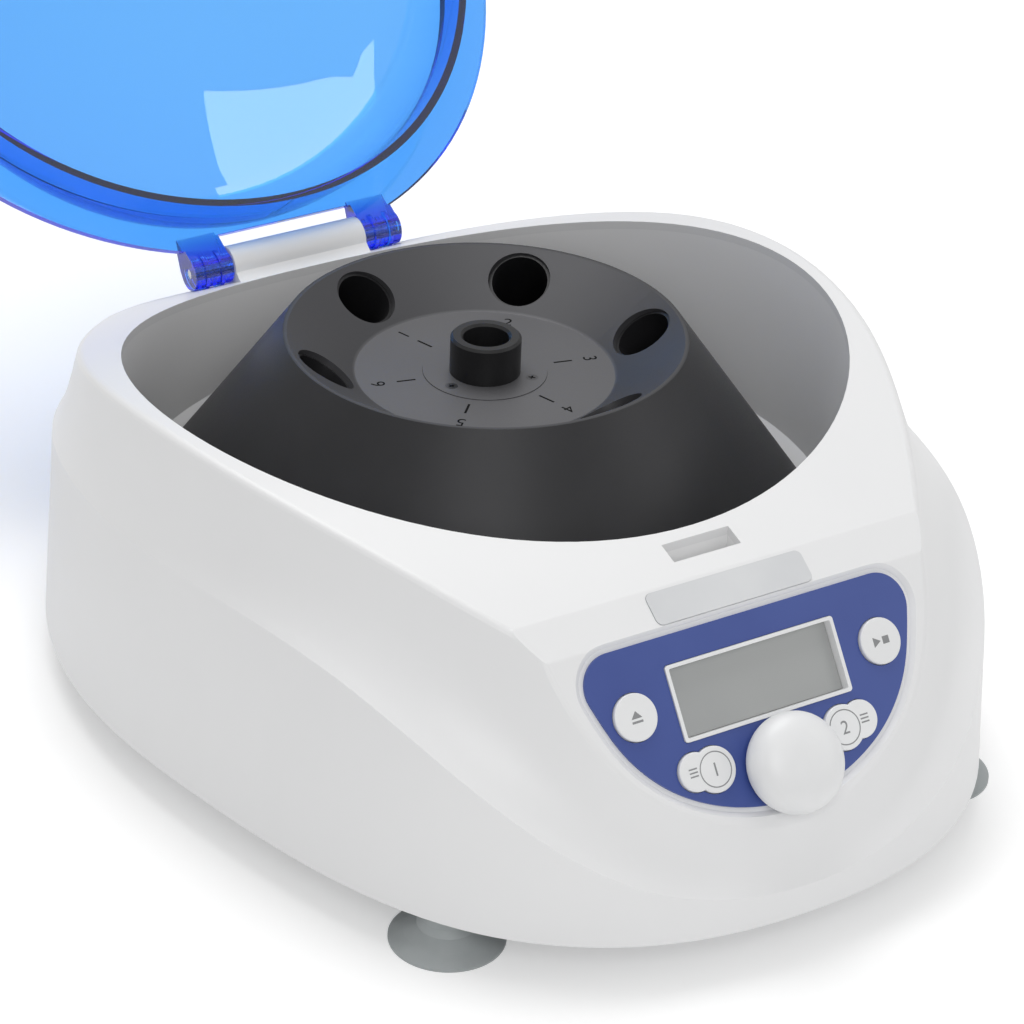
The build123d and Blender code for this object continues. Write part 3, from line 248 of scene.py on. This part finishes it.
def printedFilm(name, look):
    # Screen-printed film: even ink with a very fine leather grain over it
    finish = Finish(name, {"Coat Weight": look["coat"], "Coat Roughness": look["coatRoughness"]})
    cloud = finish.noise(look["cloudScale"], detail=3.0)
    finish.tint(cloud, look)
    finish.rough(look["roughness"], (cloud, look["cloudRough"]))
    finish.bump(finish.cells(look["grainScale"]), look["grainDepth"], look["grainStrength"])
    return finish


def displayGlass(name, look):
    # Unlit display: grey reflector with its fine dot grid, under a smooth pane
    finish = Finish(name, {"Coat Weight": look["coat"], "Coat Roughness": look["coatRoughness"]})
    grid = finish.add("ShaderNodeTexBrick", {"offset": 0.0}, {
        "Vector": finish.place, "Color1": (1, 1, 1, 1), "Color2": (1, 1, 1, 1), "Mortar": (0, 0, 0, 1),
        "Scale": 1 / look["dotPitch"], "Mortar Size": look["dotGap"], "Brick Width": 1.0, "Row Height": 1.0,
    }, "Fac")
    cloud = finish.noise(look["cloudScale"])
    grey = finish.blend(finish.span(cloud, 0.3, 0.7), look["colour"], look["drift"])
    finish.feed("Base Color", finish.blend(grid * look["dotShare"], grey, look["dotColour"]))
    finish.rough(look["roughness"], (cloud, look["cloudRough"]))
    return finish


def circuitBoard(name, look):
    # Solder mask with traces just visible under it
    finish = Finish(name, {"Coat Weight": look["coat"], "Coat Roughness": look["coatRoughness"]})
    trace = finish.span(finish.cells(look["trackScale"], "DISTANCE_TO_EDGE"), *look["trackEdge"])
    cloud = finish.noise(look["cloudScale"], detail=3.0)
    finish.feed("Base Color", finish.blend(trace, look["trace"], look["colour"]))
    finish.rough(look["roughness"], (cloud, look["cloudRough"]))
    finish.bump(trace, look["trackDepth"], look["trackStrength"])
    return finish


def sheetPaint(name, look):
    # Powder coat: an orange-peel skin of small soft bumps
    finish = Finish(name, {"Metallic": 0.0})
    peel = finish.noise(look["peelScale"], roughness=0.4)
    cloud = finish.noise(look["cloudScale"], detail=4.0, roughness=0.6)
    finish.tint(cloud, look)
    finish.rough(look["roughness"], (cloud, look["cloudRough"]))
    finish.bump(peel, look["peelDepth"], look["peelStrength"])
    return finish


# Looks: scales are counts per metre, depths are lengths, and a Rough value is how far a
# pattern moves the roughness

mouldedSkin = {
    "shine": 0.5, "coatRoughness": 0.22, "cloudRough": 0.12, "grainRough": 0.06,
    "rubScale": 60.0, "rubStretch": (1, 1, 14), "rubSpan": (0.66, 0.74), "rubRough": 0.10, "rubDepth": 0.15,
}
whiteLook = {
    **mouldedSkin, "colour": (0.86, 0.862, 0.866), "drift": (0.83, 0.832, 0.838),
    "roughness": 0.42, "coat": 0.12,
    "cloudScale": 7.0, "grainScale": 1900.0, "grainDepth": 0.04 * mm, "grainStrength": 0.28,
}
plateLook = {
    **mouldedSkin, "colour": (0.72, 0.73, 0.74), "drift": (0.67, 0.68, 0.695),
    "roughness": 0.34, "coat": 0.25,
    "cloudScale": 30.0, "grainScale": 3200.0, "grainDepth": 0.02 * mm, "grainStrength": 0.2,
}
# Painted light: the liner's white is lighter than the housing's, standing in for light the chamber's walls
# do not get
linerLook = {
    **mouldedSkin, "colour": (0.93, 0.93, 0.93), "drift": (0.90, 0.90, 0.905),
    "roughness": 0.36, "coat": 0.15,
    "cloudScale": 9.0, "grainScale": 1400.0, "grainDepth": 0.05 * mm, "grainStrength": 0.3,
}
keyLook = {
    **mouldedSkin, "colour": (0.86, 0.865, 0.87), "drift": (0.82, 0.825, 0.83),
    "roughness": 0.40, "coat": 0.1,
    "cloudScale": 40.0, "grainScale": 2600.0, "grainDepth": 0.03 * mm, "grainStrength": 0.25,
}
blackPlasticLook = {
    **mouldedSkin, "colour": (0.028, 0.028, 0.03), "drift": (0.04, 0.04, 0.043),
    "roughness": 0.45, "coat": 0.05,
    "cloudScale": 35.0, "grainScale": 1700.0, "grainDepth": 0.05 * mm, "grainStrength": 0.5,
}
sleeveLook = dict(blackPlasticLook, colour=(0.02, 0.03, 0.12), drift=(0.03, 0.045, 0.16), roughness=0.3)
inkLook = dict(
    blackPlasticLook, colour=(0.004, 0.004, 0.004), drift=(0.006, 0.006, 0.006),
    roughness=0.7, coat=0.0, shine=0.1,
)
greyInkLook = dict(
    blackPlasticLook, colour=(0.24, 0.245, 0.25), drift=(0.29, 0.295, 0.30), roughness=0.55, coat=0.0,
)
rotorLook = {
    "colour": (0.024, 0.024, 0.026), "drift": (0.032, 0.032, 0.035), "roughness": 0.46, "metallic": 0.28,
    "grainScale": 1600.0, "grainDepth": 0.05 * mm, "grainStrength": 0.4, "grainRough": 0.14,
    "cloudScale": 26.0, "cloudRough": 0.10, "centre": rotorCentre,
    "ringDepth": 0.12, "ringPitch": 0.42 * mm, "ringNoise": 1.0,
    # Painted light: the dish and slope colours are lighter than the cone's, standing in for overhead light
    # on those upward faces
    "dishRadius": 47.0 * mm, "dishPaintedLightColour": (0.125, 0.125, 0.132),
    "rimRadius": 72.0 * mm, "slopePaintedLightColour": (0.062, 0.062, 0.067), "blendWidth": 1.0 * mm,
}
collarLook = dict(
    rotorLook, colour=(0.008, 0.008, 0.009), drift=(0.012, 0.012, 0.013), roughness=0.38, metallic=0.0,
)
pocketLook = dict(collarLook, colour=(0.012, 0.012, 0.013), drift=(0.018, 0.018, 0.02), centre=None)
steelLook = {
    "colour": (0.56, 0.56, 0.57), "drift": (0.46, 0.46, 0.475), "roughness": 0.27,
    "lineScale": 420.0, "stretch": (1, 1, 9), "lineSpan": (0.25, 0.75), "lineRough": 0.18,
    "lineDepth": 0.04 * mm, "lineStrength": 0.35, "cloudScale": 40.0, "cloudRough": 0.08,
}
screwLook = dict(
    steelLook, colour=(0.16, 0.16, 0.165), drift=(0.11, 0.11, 0.115), roughness=0.4, stretch=(3, 3, 1),
)
heatSinkLook = dict(
    steelLook, colour=(0.62, 0.62, 0.64), drift=(0.52, 0.52, 0.54), roughness=0.4, stretch=(1, 8, 1),
)
lidLook = {
    "surface": (0.80, 0.92, 1.0), "clear": 0.95, "bending": 1.586,
    "tint": (0.02, 0.64, 0.98), "density": 640.0,
    "roughness": 0.012, "hazeScale": 22.0, "hazeSpan": (0.45, 0.8), "hazeRough": 0.015,
    "speckScale": 900.0, "speckShare": 0.02, "rippleDepth": 0.12 * mm, "rippleStrength": 0.12,
}
footLook = {
    "colour": (0.38, 0.41, 0.415), "drift": (0.44, 0.465, 0.47), "roughness": 0.5, "shine": 0.35,
    "bloomScale": 45.0, "bloomSpan": (0.35, 0.7), "bloomRough": 0.16, "bloomDepth": 0.5,
    "grainScale": 1800.0, "grainRough": 0.1, "grainDepth": 0.05 * mm, "grainStrength": 0.5,
}
damperLook = dict(footLook, colour=(0.02, 0.02, 0.021), drift=(0.035, 0.035, 0.036), roughness=0.7)
overlayLook = {
    "colour": (0.044, 0.078, 0.300), "drift": (0.052, 0.090, 0.325), "roughness": 0.40, "coat": 0.12,
    "coatRoughness": 0.3, "cloudScale": 30.0, "cloudRough": 0.06,
    "grainScale": 1900.0, "grainDepth": 0.03 * mm, "grainStrength": 0.35,
}
displayLook = {
    "colour": (0.40, 0.41, 0.405), "drift": (0.37, 0.38, 0.38), "roughness": 0.34, "coat": 0.6,
    "coatRoughness": 0.06, "cloudScale": 18.0, "cloudRough": 0.05,
    "dotPitch": 0.5 * mm, "dotGap": 0.04, "dotShare": 0.05, "dotColour": (0.2, 0.2, 0.2),
}
boardLook = {
    "colour": (0.02, 0.13, 0.055), "trace": (0.05, 0.24, 0.10), "roughness": 0.35, "coat": 0.5,
    "coatRoughness": 0.15, "cloudScale": 50.0, "cloudRough": 0.1,
    "trackScale": 260.0, "trackEdge": (0.02, 0.05), "trackDepth": 0.04 * mm, "trackStrength": 0.4,
}
panLook = {
    "colour": (0.55, 0.56, 0.57), "drift": (0.50, 0.51, 0.525), "roughness": 0.5, "cloudScale": 14.0,
    "cloudRough": 0.12, "peelScale": 520.0, "peelDepth": 0.08 * mm, "peelStrength": 0.45,
}
motorLook = dict(panLook, colour=(0.03, 0.03, 0.032), drift=(0.045, 0.045, 0.048), roughness=0.42)
coilLook = dict(panLook, colour=(0.30, 0.30, 0.31), drift=(0.36, 0.36, 0.37), roughness=0.4)

finishes = {
    "white_abs": mouldedPlastic("mouldedWhite", whiteLook),
    "silver_label": mouldedPlastic("barePlate", plateLook),
    "chamber_liner": mouldedPlastic("chamberLiner", linerLook),
    "white_button": mouldedPlastic("whiteKey", keyLook),
    "black_plastic": mouldedPlastic("blackPlastic", blackPlasticLook),
    "capacitor_sleeve": mouldedPlastic("capacitorSleeve", sleeveLook),
    "rotor_black": rotorSatin("rotorSatin", rotorLook),
    "collar_black": satinBlack("collarBlack", collarLook),
    "pocket_black": satinBlack("pocketBlack", pocketLook),
    "steel": brushedMetal("turnedSteel", steelLook),
    "zinc_screw": brushedMetal("screwZinc", screwLook),
    "heat_sink_alu": brushedMetal("heatSinkAluminium", heatSinkLook),
    "lid_blue": clearBlue("lidBlue", lidLook),
    "foot_rubber": softRubber("footRubber", footLook),
    "damper_rubber": softRubber("damperRubber", damperLook),
    "overlay_blue": printedFilm("overlayBlue", overlayLook),
    "display_grey": displayGlass("displayGrey", displayLook),
    "board_green": circuitBoard("boardGreen", boardLook),
    "base_sheet": sheetPaint("basePowderCoat", panLook),
    "motor_shell": sheetPaint("motorLacquer", motorLook),
    "copper_coil": sheetPaint("solenoidFrame", coilLook),
}
darkInk = mouldedPlastic("darkInk", inkLook)
greyInk = mouldedPlastic("greyInk", greyInkLook)
print("finishes made:", len(finishes) + 2)


def wearFinish(obj, finish):
    obj.data.materials.clear()
    obj.data.materials.append(finish.material)


for part in frame["record"]["subparts"]:
    wearFinish(nodes[part["node"]], finishes[part["material_slot"]])


# Mesh helpers

def newPiece(name, verts, faces, finish, body, smooth=False):
    mesh = bpy.data.meshes.new(name)
    mesh.from_pydata(np.asarray(verts).tolist(), [], faces)
    mesh.update()
    obj = bpy.data.objects.new(name, mesh)
    bpy.context.scene.collection.objects.link(obj)
    mesh.polygons.foreach_set("use_smooth", [smooth] * len(mesh.polygons))
    wearFinish(obj, finish)
    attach(obj, body)
    return obj


# Prism with a closed flat outline: the outline twice, once at each height, and a wall between them
def slab(outline, low, high):
    count = len(outline)
    flat = np.asarray(outline, float)
    verts = np.vstack([np.c_[flat, np.full(count, low)], np.c_[flat, np.full(count, high)]])
    faces = [list(range(count))[::-1], list(range(count, 2 * count))]
    faces += [[i, (i + 1) % count, (i + 1) % count + count, i + count] for i in range(count)]
    return verts, faces


# Flat ring of square section: angle runs round, and four corners run round the section
def ringSlab(centre, radius, width, low, high, count=72):
    turn = np.linspace(0, 2 * math.pi, count, endpoint=False)
    outer, inner = radius + width / 2, radius - width / 2
    section = [(outer, low), (outer, high), (inner, high), (inner, low)]
    circle = np.c_[np.cos(turn), np.sin(turn)]
    verts = [np.c_[circle * r + np.asarray(centre), np.full(count, z)] for r, z in section]
    corner, step = np.meshgrid(np.arange(4), np.arange(count), indexing="ij")
    here, there = corner * count, (corner + 1) % 4 * count
    after = (step + 1) % count
    faces = np.stack([here + step, here + after, there + after, there + step], -1).reshape(-1, 4).tolist()
    return np.vstack(verts), faces


digitShare = 0.7  # height of a digit as a share of its font size


# Numeral as a thin slab, centred on the origin with its foot towards -Y
def numeral(text, height, low, high):
    curve = bpy.data.curves.new("numeral", "FONT")
    curve.body = text
    curve.size = height / digitShare
    curve.extrude = (high - low) / 2
    curve.resolution_u = 6
    holder = bpy.data.objects.new("numeral", curve)
    bpy.context.scene.collection.objects.link(holder)
    bpy.context.view_layer.update()
    made = bpy.data.meshes.new_from_object(holder.evaluated_get(bpy.context.evaluated_depsgraph_get()))
    verts = np.empty(len(made.vertices) * 3)
    made.vertices.foreach_get("co", verts)
    verts = verts.reshape(-1, 3)
    verts[:, :2] -= (verts[:, :2].min(0) + verts[:, :2].max(0)) / 2
    verts[:, 2] += (low + high) / 2
    faces = [list(p.vertices) for p in made.polygons]
    bpy.data.objects.remove(holder)
    bpy.data.curves.remove(curve)
    bpy.data.meshes.remove(made)
    return verts, faces


# Several shapes in one mesh, each moved by its own matrix
def together(shapes):
    verts, faces, start = [], [], 0
    for matrix, (points, polygons) in shapes:
        spot = np.asarray(matrix)
        points = np.asarray(points) @ spot[:3, :3].T + spot[:3, 3]
        verts.append(points)
        faces += [[i + start for i in polygon] for polygon in polygons]
        start += len(points)
    return np.vstack(verts), faces


# Numbers and index lines engraved round the rotor dish, read from the hub outwards
rotorMarks = {
    "holes": 6, "holeOneAngle": 106.4, "digitRadius": 40.2 * mm, "digitHeight": 5.2 * mm,
    "lineFrom": 26.2 * mm, "lineTo": 33.2 * mm, "lineWidth": 0.85 * mm, "proud": 0.03 * mm,
}


def markRotor(look):
    shapes = []
    for hole in range(look["holes"]):
        angle = math.radians(look["holeOneAngle"] - 360 / look["holes"] * hole)
        middle = Matrix.Translation((rotorCentre.x, rotorCentre.y, dishFloorZ))
        turn = middle @ Matrix.Rotation(angle - math.pi / 2, 4, "Z")
        digit = numeral(str(hole + 1), look["digitHeight"], 0, look["proud"])
        shapes.append((turn @ Matrix.Translation((0, look["digitRadius"], 0)), digit))
        half, start, end = look["lineWidth"] / 2, look["lineFrom"], look["lineTo"]
        line = [(-half, start), (half, start), (half, end), (-half, end)]
        shapes.append((turn, slab(line, 0, look["proud"])))
    verts, faces = together(shapes)
    return newPiece("rotorMarks", verts, faces, darkInk, "rotor")


markRotor(rotorMarks)

# The control panel's own frame: its middle, counted from the foot of the rotor's axis, and its slope
panelLook = {
    "slope": 54.7, "centre": (0.0, -176.8 * mm, 86.4 * mm), "keyTop": 1.0 * mm, "markProud": 0.03 * mm,
}


def panelMatrix(look):
    lean = math.radians(look["slope"])
    return Matrix.Translation(rotorAxisFoot + Vector(look["centre"])) @ Matrix.Rotation(lean, 4, "X")


onPanel = panelMatrix(panelLook)

# Grey print on the keys: ringed numbers on the program keys, plain symbols on the others.
# The symbols' own outlines are shares of the symbol's size
keyMarks = {
    "ringRadius": 5.9 * mm, "ringWidth": 0.4 * mm, "numberHeight": 4.6 * mm,
    "ringLobe": (26.2 * mm, -24.0 * mm), "smallLobe": (34.6 * mm, -23.0 * mm),
    "listLine": (3.2 * mm, 0.5 * mm), "listPitch": 1.25 * mm,
    "roundKey": 49.4 * mm, "symbol": 4.2 * mm,
}


def rectangle(x, y, width, height):
    return [(x - width / 2, y - height / 2), (x + width / 2, y - height / 2),
            (x + width / 2, y + height / 2), (x - width / 2, y + height / 2)]


def markKeys(look):
    low = panelLook["keyTop"]
    high = low + panelLook["markProud"]
    for side, number in ((-1, "1"), (1, "2")):
        ring = (side * look["ringLobe"][0], look["ringLobe"][1])
        shapes = [
            (onPanel, ringSlab(ring, look["ringRadius"], look["ringWidth"], low, high)),
            (onPanel @ Matrix.Translation((*ring, 0)), numeral(number, look["numberHeight"], low, high)),
        ]
        lobeX, lobeY = look["smallLobe"]
        for row in (-1, 0, 1):
            line = rectangle(side * lobeX, lobeY + row * look["listPitch"], *look["listLine"])
            shapes.append((onPanel, slab(line, low, high)))
        newPiece(f"programMarks{number}", *together(shapes), greyInk, f"program_key_{number}")
    size = look["symbol"]
    x = -look["roundKey"]
    arrow = [(x - size / 2, -0.1 * size), (x + size / 2, -0.1 * size), (x, 0.5 * size)]
    bar = rectangle(x, -0.38 * size, size, 0.18 * size)
    lidSymbol = [(onPanel, slab(outline, low, high)) for outline in (arrow, bar)]
    newPiece("lidKeyMark", *together(lidSymbol), greyInk, "door_key")
    x = look["roundKey"]
    arrow = [(x - 0.75 * size, -0.42 * size), (x - 0.05 * size, 0), (x - 0.75 * size, 0.42 * size)]
    square = rectangle(x + 0.45 * size, 0, 0.62 * size, 0.62 * size)
    runSymbol = [(onPanel, slab(outline, low, high)) for outline in (arrow, square)]
    newPiece("runKeyMark", *together(runSymbol), greyInk, "start_key")


markKeys(keyMarks)
print("marks made")

# Knob: a smooth dome over slightly drawn-in sides, with no crease between crown and side
knobLook = {
    "centre": (0.0, -29.6 * mm), "radius": 17.2 * mm, "drawnIn": 2.2 * mm, "foot": 0.6 * mm,
    "widest": 7.2 * mm, "crown": 17.6 * mm, "fullness": 2.5, "steps": 28, "around": 112,
}


def makeKnob(look):
    # Side: r = R - d (1 - u)^2 from foot to widest; dome: (r / R)^n + (h / H)^n = 1 above it
    rise = np.linspace(0, 1, look["steps"] // 2, endpoint=False)
    lean = np.linspace(0, math.pi / 2, look["steps"])
    power = 2 / look["fullness"]
    radius, foot, widest = look["radius"], look["foot"], look["widest"]
    domeRadii = radius * np.cos(lean[:-1]) ** power
    domeHeights = widest + (look["crown"] - widest) * np.sin(lean[:-1]) ** power
    radii = np.r_[radius - look["drawnIn"] * (1 - rise) ** 2, domeRadii]
    heights = np.r_[foot + (widest - foot) * rise, domeHeights]
    count = look["around"]
    turn = np.linspace(0, 2 * math.pi, count, endpoint=False)
    x = look["centre"][0] + np.outer(radii, np.cos(turn))
    y = look["centre"][1] + np.outer(radii, np.sin(turn))
    z = np.outer(heights, np.ones(count))
    verts = np.vstack([np.c_[x.ravel(), y.ravel(), z.ravel()], [(*look["centre"], look["crown"])]])
    row, column = np.meshgrid(np.arange(len(radii) - 1), np.arange(count), indexing="ij")
    here = row * count + column
    beside = row * count + (column + 1) % count
    faces = np.stack([here, beside, beside + count, here + count], -1).reshape(-1, 4).tolist()
    last = (len(radii) - 1) * count
    faces += [[last + k, last + (k + 1) % count, last + count] for k in range(count)]
    faces.append(list(range(count))[::-1])
    placed = together([(onPanel, (verts, faces))])
    knob = newPiece("knobDome", *placed, finishes["white_button"], "speed_knob", True)
    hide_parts("knob")


makeKnob(knobLook)
print("knob made")

# Stage: one pale floor, white to the camera and to glass, that still takes the shadow
stageLook = {
    "size": 3.6, "white": 0.93, "fleck": 0.88, "fleckShare": 0.1, "paperScale": 40.0,
    "glow": 0.12, "glowLight": 2.8, "worldLight": 0.46,
}


def makeStage(look):
    half = look["size"] / 2
    mesh = bpy.data.meshes.new("floor")
    corners = [(-half, -half, 0), (half, -half, 0), (half, half, 0), (-half, half, 0)]
    mesh.from_pydata(corners, [], [(0, 1, 2, 3)])
    floor = bpy.data.objects.new("floor", mesh)
    bpy.context.scene.collection.objects.link(floor)
    finish = Finish("floorPaper", {"Roughness": 0.9, "Specular IOR Level": 0.0})
    paper = finish.noise(look["paperScale"], detail=3.0)
    sheet, fleck = (look["white"],) * 3, (look["fleck"],) * 3
    finish.feed("Base Color", finish.blend(paper * look["fleckShare"], sheet, fleck))
    light = {"Color": (1, 1, 1, 1), "Strength": look["glowLight"]}
    glow = finish.add("ShaderNodeEmission", values=light)
    seen = finish.add("ShaderNodeLightPath", output="Is Camera Ray")
    clear = finish.add("ShaderNodeLightPath", output="Is Transmission Ray")
    shine = finish.add("ShaderNodeLightPath", output="Is Glossy Ray")
    share = seen.math("MAXIMUM", seen, clear)
    share = share.math("MAXIMUM", share, shine) * look["glow"]
    body = Link(finish.tree, finish.shader.outputs[0])
    both = finish.add("ShaderNodeMixShader", values={0: share, 1: body, 2: glow})
    finish.tree.links.new(both.socket, finish.tree.nodes["Material Output"].inputs["Surface"])
    wearFinish(floor, finish)
    world = bpy.data.worlds.new("studio")
    world.use_nodes = True
    tree = world.node_tree
    tree.nodes.clear()
    rays = ("Is Camera Ray", "Is Transmission Ray")
    path = [addNode(tree, "ShaderNodeLightPath", output=ray) for ray in rays]
    seenWhite = path[0].math("MAXIMUM", *path)
    strength = seenWhite * (1 - look["worldLight"]) + look["worldLight"]
    sky = addNode(tree, "ShaderNodeBackground", values={"Color": (1, 1, 1, 1), "Strength": strength})
    out = tree.nodes.new("ShaderNodeOutputWorld")
    tree.links.new(sky.socket, out.inputs["Surface"])
    bpy.context.scene.world = world


# Soft lamps: each is a square sheet of light at a place, turned to face the machine's middle
lampTarget = Vector((0, -0.06, 0.12))
lamps = {
    "overheadLamp": {"place": (0.10, 0.55, 1.75), "size": 1.2, "power": 16.0},
    "rightLamp": {"place": (1.6, -1.3, 1.0), "size": 1.1, "power": 4.5},
    "frontLamp": {"place": (-0.75, -1.45, 1.15), "size": 0.9, "power": 7.0},
}


def makeLamps(looks, target):
    for name, look in looks.items():
        data = bpy.data.lights.new(name, "AREA")
        data.size = look["size"]
        data.energy = look["power"]
        lamp = bpy.data.objects.new(name, data)
        bpy.context.scene.collection.objects.link(lamp)
        place = Vector(look["place"])
        lamp.location = place
        lamp.rotation_euler = (target - place).to_track_quat("-Z", "Y").to_euler()


# Camera where the photograph was taken: turned, raised and rolled by these angles, and
# placed from the foot of the rotor's axis
cameraLook = {
    "turn": 32.902, "rise": 29.880, "roll": 2.314, "place": (-0.6548, -1.033836, 0.7640),
    "lens": 134.70, "sensor": 36.0, "near": 0.05, "far": 50.0,
}


def makeCamera(look):
    turn, rise, roll = (math.radians(look[name]) for name in ("turn", "rise", "roll"))
    right = Vector((math.cos(turn), -math.sin(turn), 0))
    up = Vector((math.sin(turn) * math.sin(rise), math.cos(turn) * math.sin(rise), math.cos(rise)))
    back = right.cross(up)
    rolledRight = right * math.cos(roll) + up * math.sin(roll)
    rolledUp = up * math.cos(roll) - right * math.sin(roll)
    data = bpy.data.cameras.new("photoCamera")
    data.lens = look["lens"]
    data.sensor_width = look["sensor"]
    data.clip_start = look["near"]
    data.clip_end = look["far"]
    camera = bpy.data.objects.new("photoCamera", data)
    bpy.context.scene.collection.objects.link(camera)
    frameAxes = Matrix((rolledRight, rolledUp, back)).transposed().to_4x4()
    camera.matrix_world = Matrix.Translation(rotorAxisFoot + Vector(look["place"])) @ frameAxes
    bpy.context.scene.camera = camera


makeStage(stageLook)
makeLamps(lamps, lampTarget)
makeCamera(cameraLook)
bpy.context.scene.view_settings.view_transform = "Standard"
print("stage, lamps and camera made")
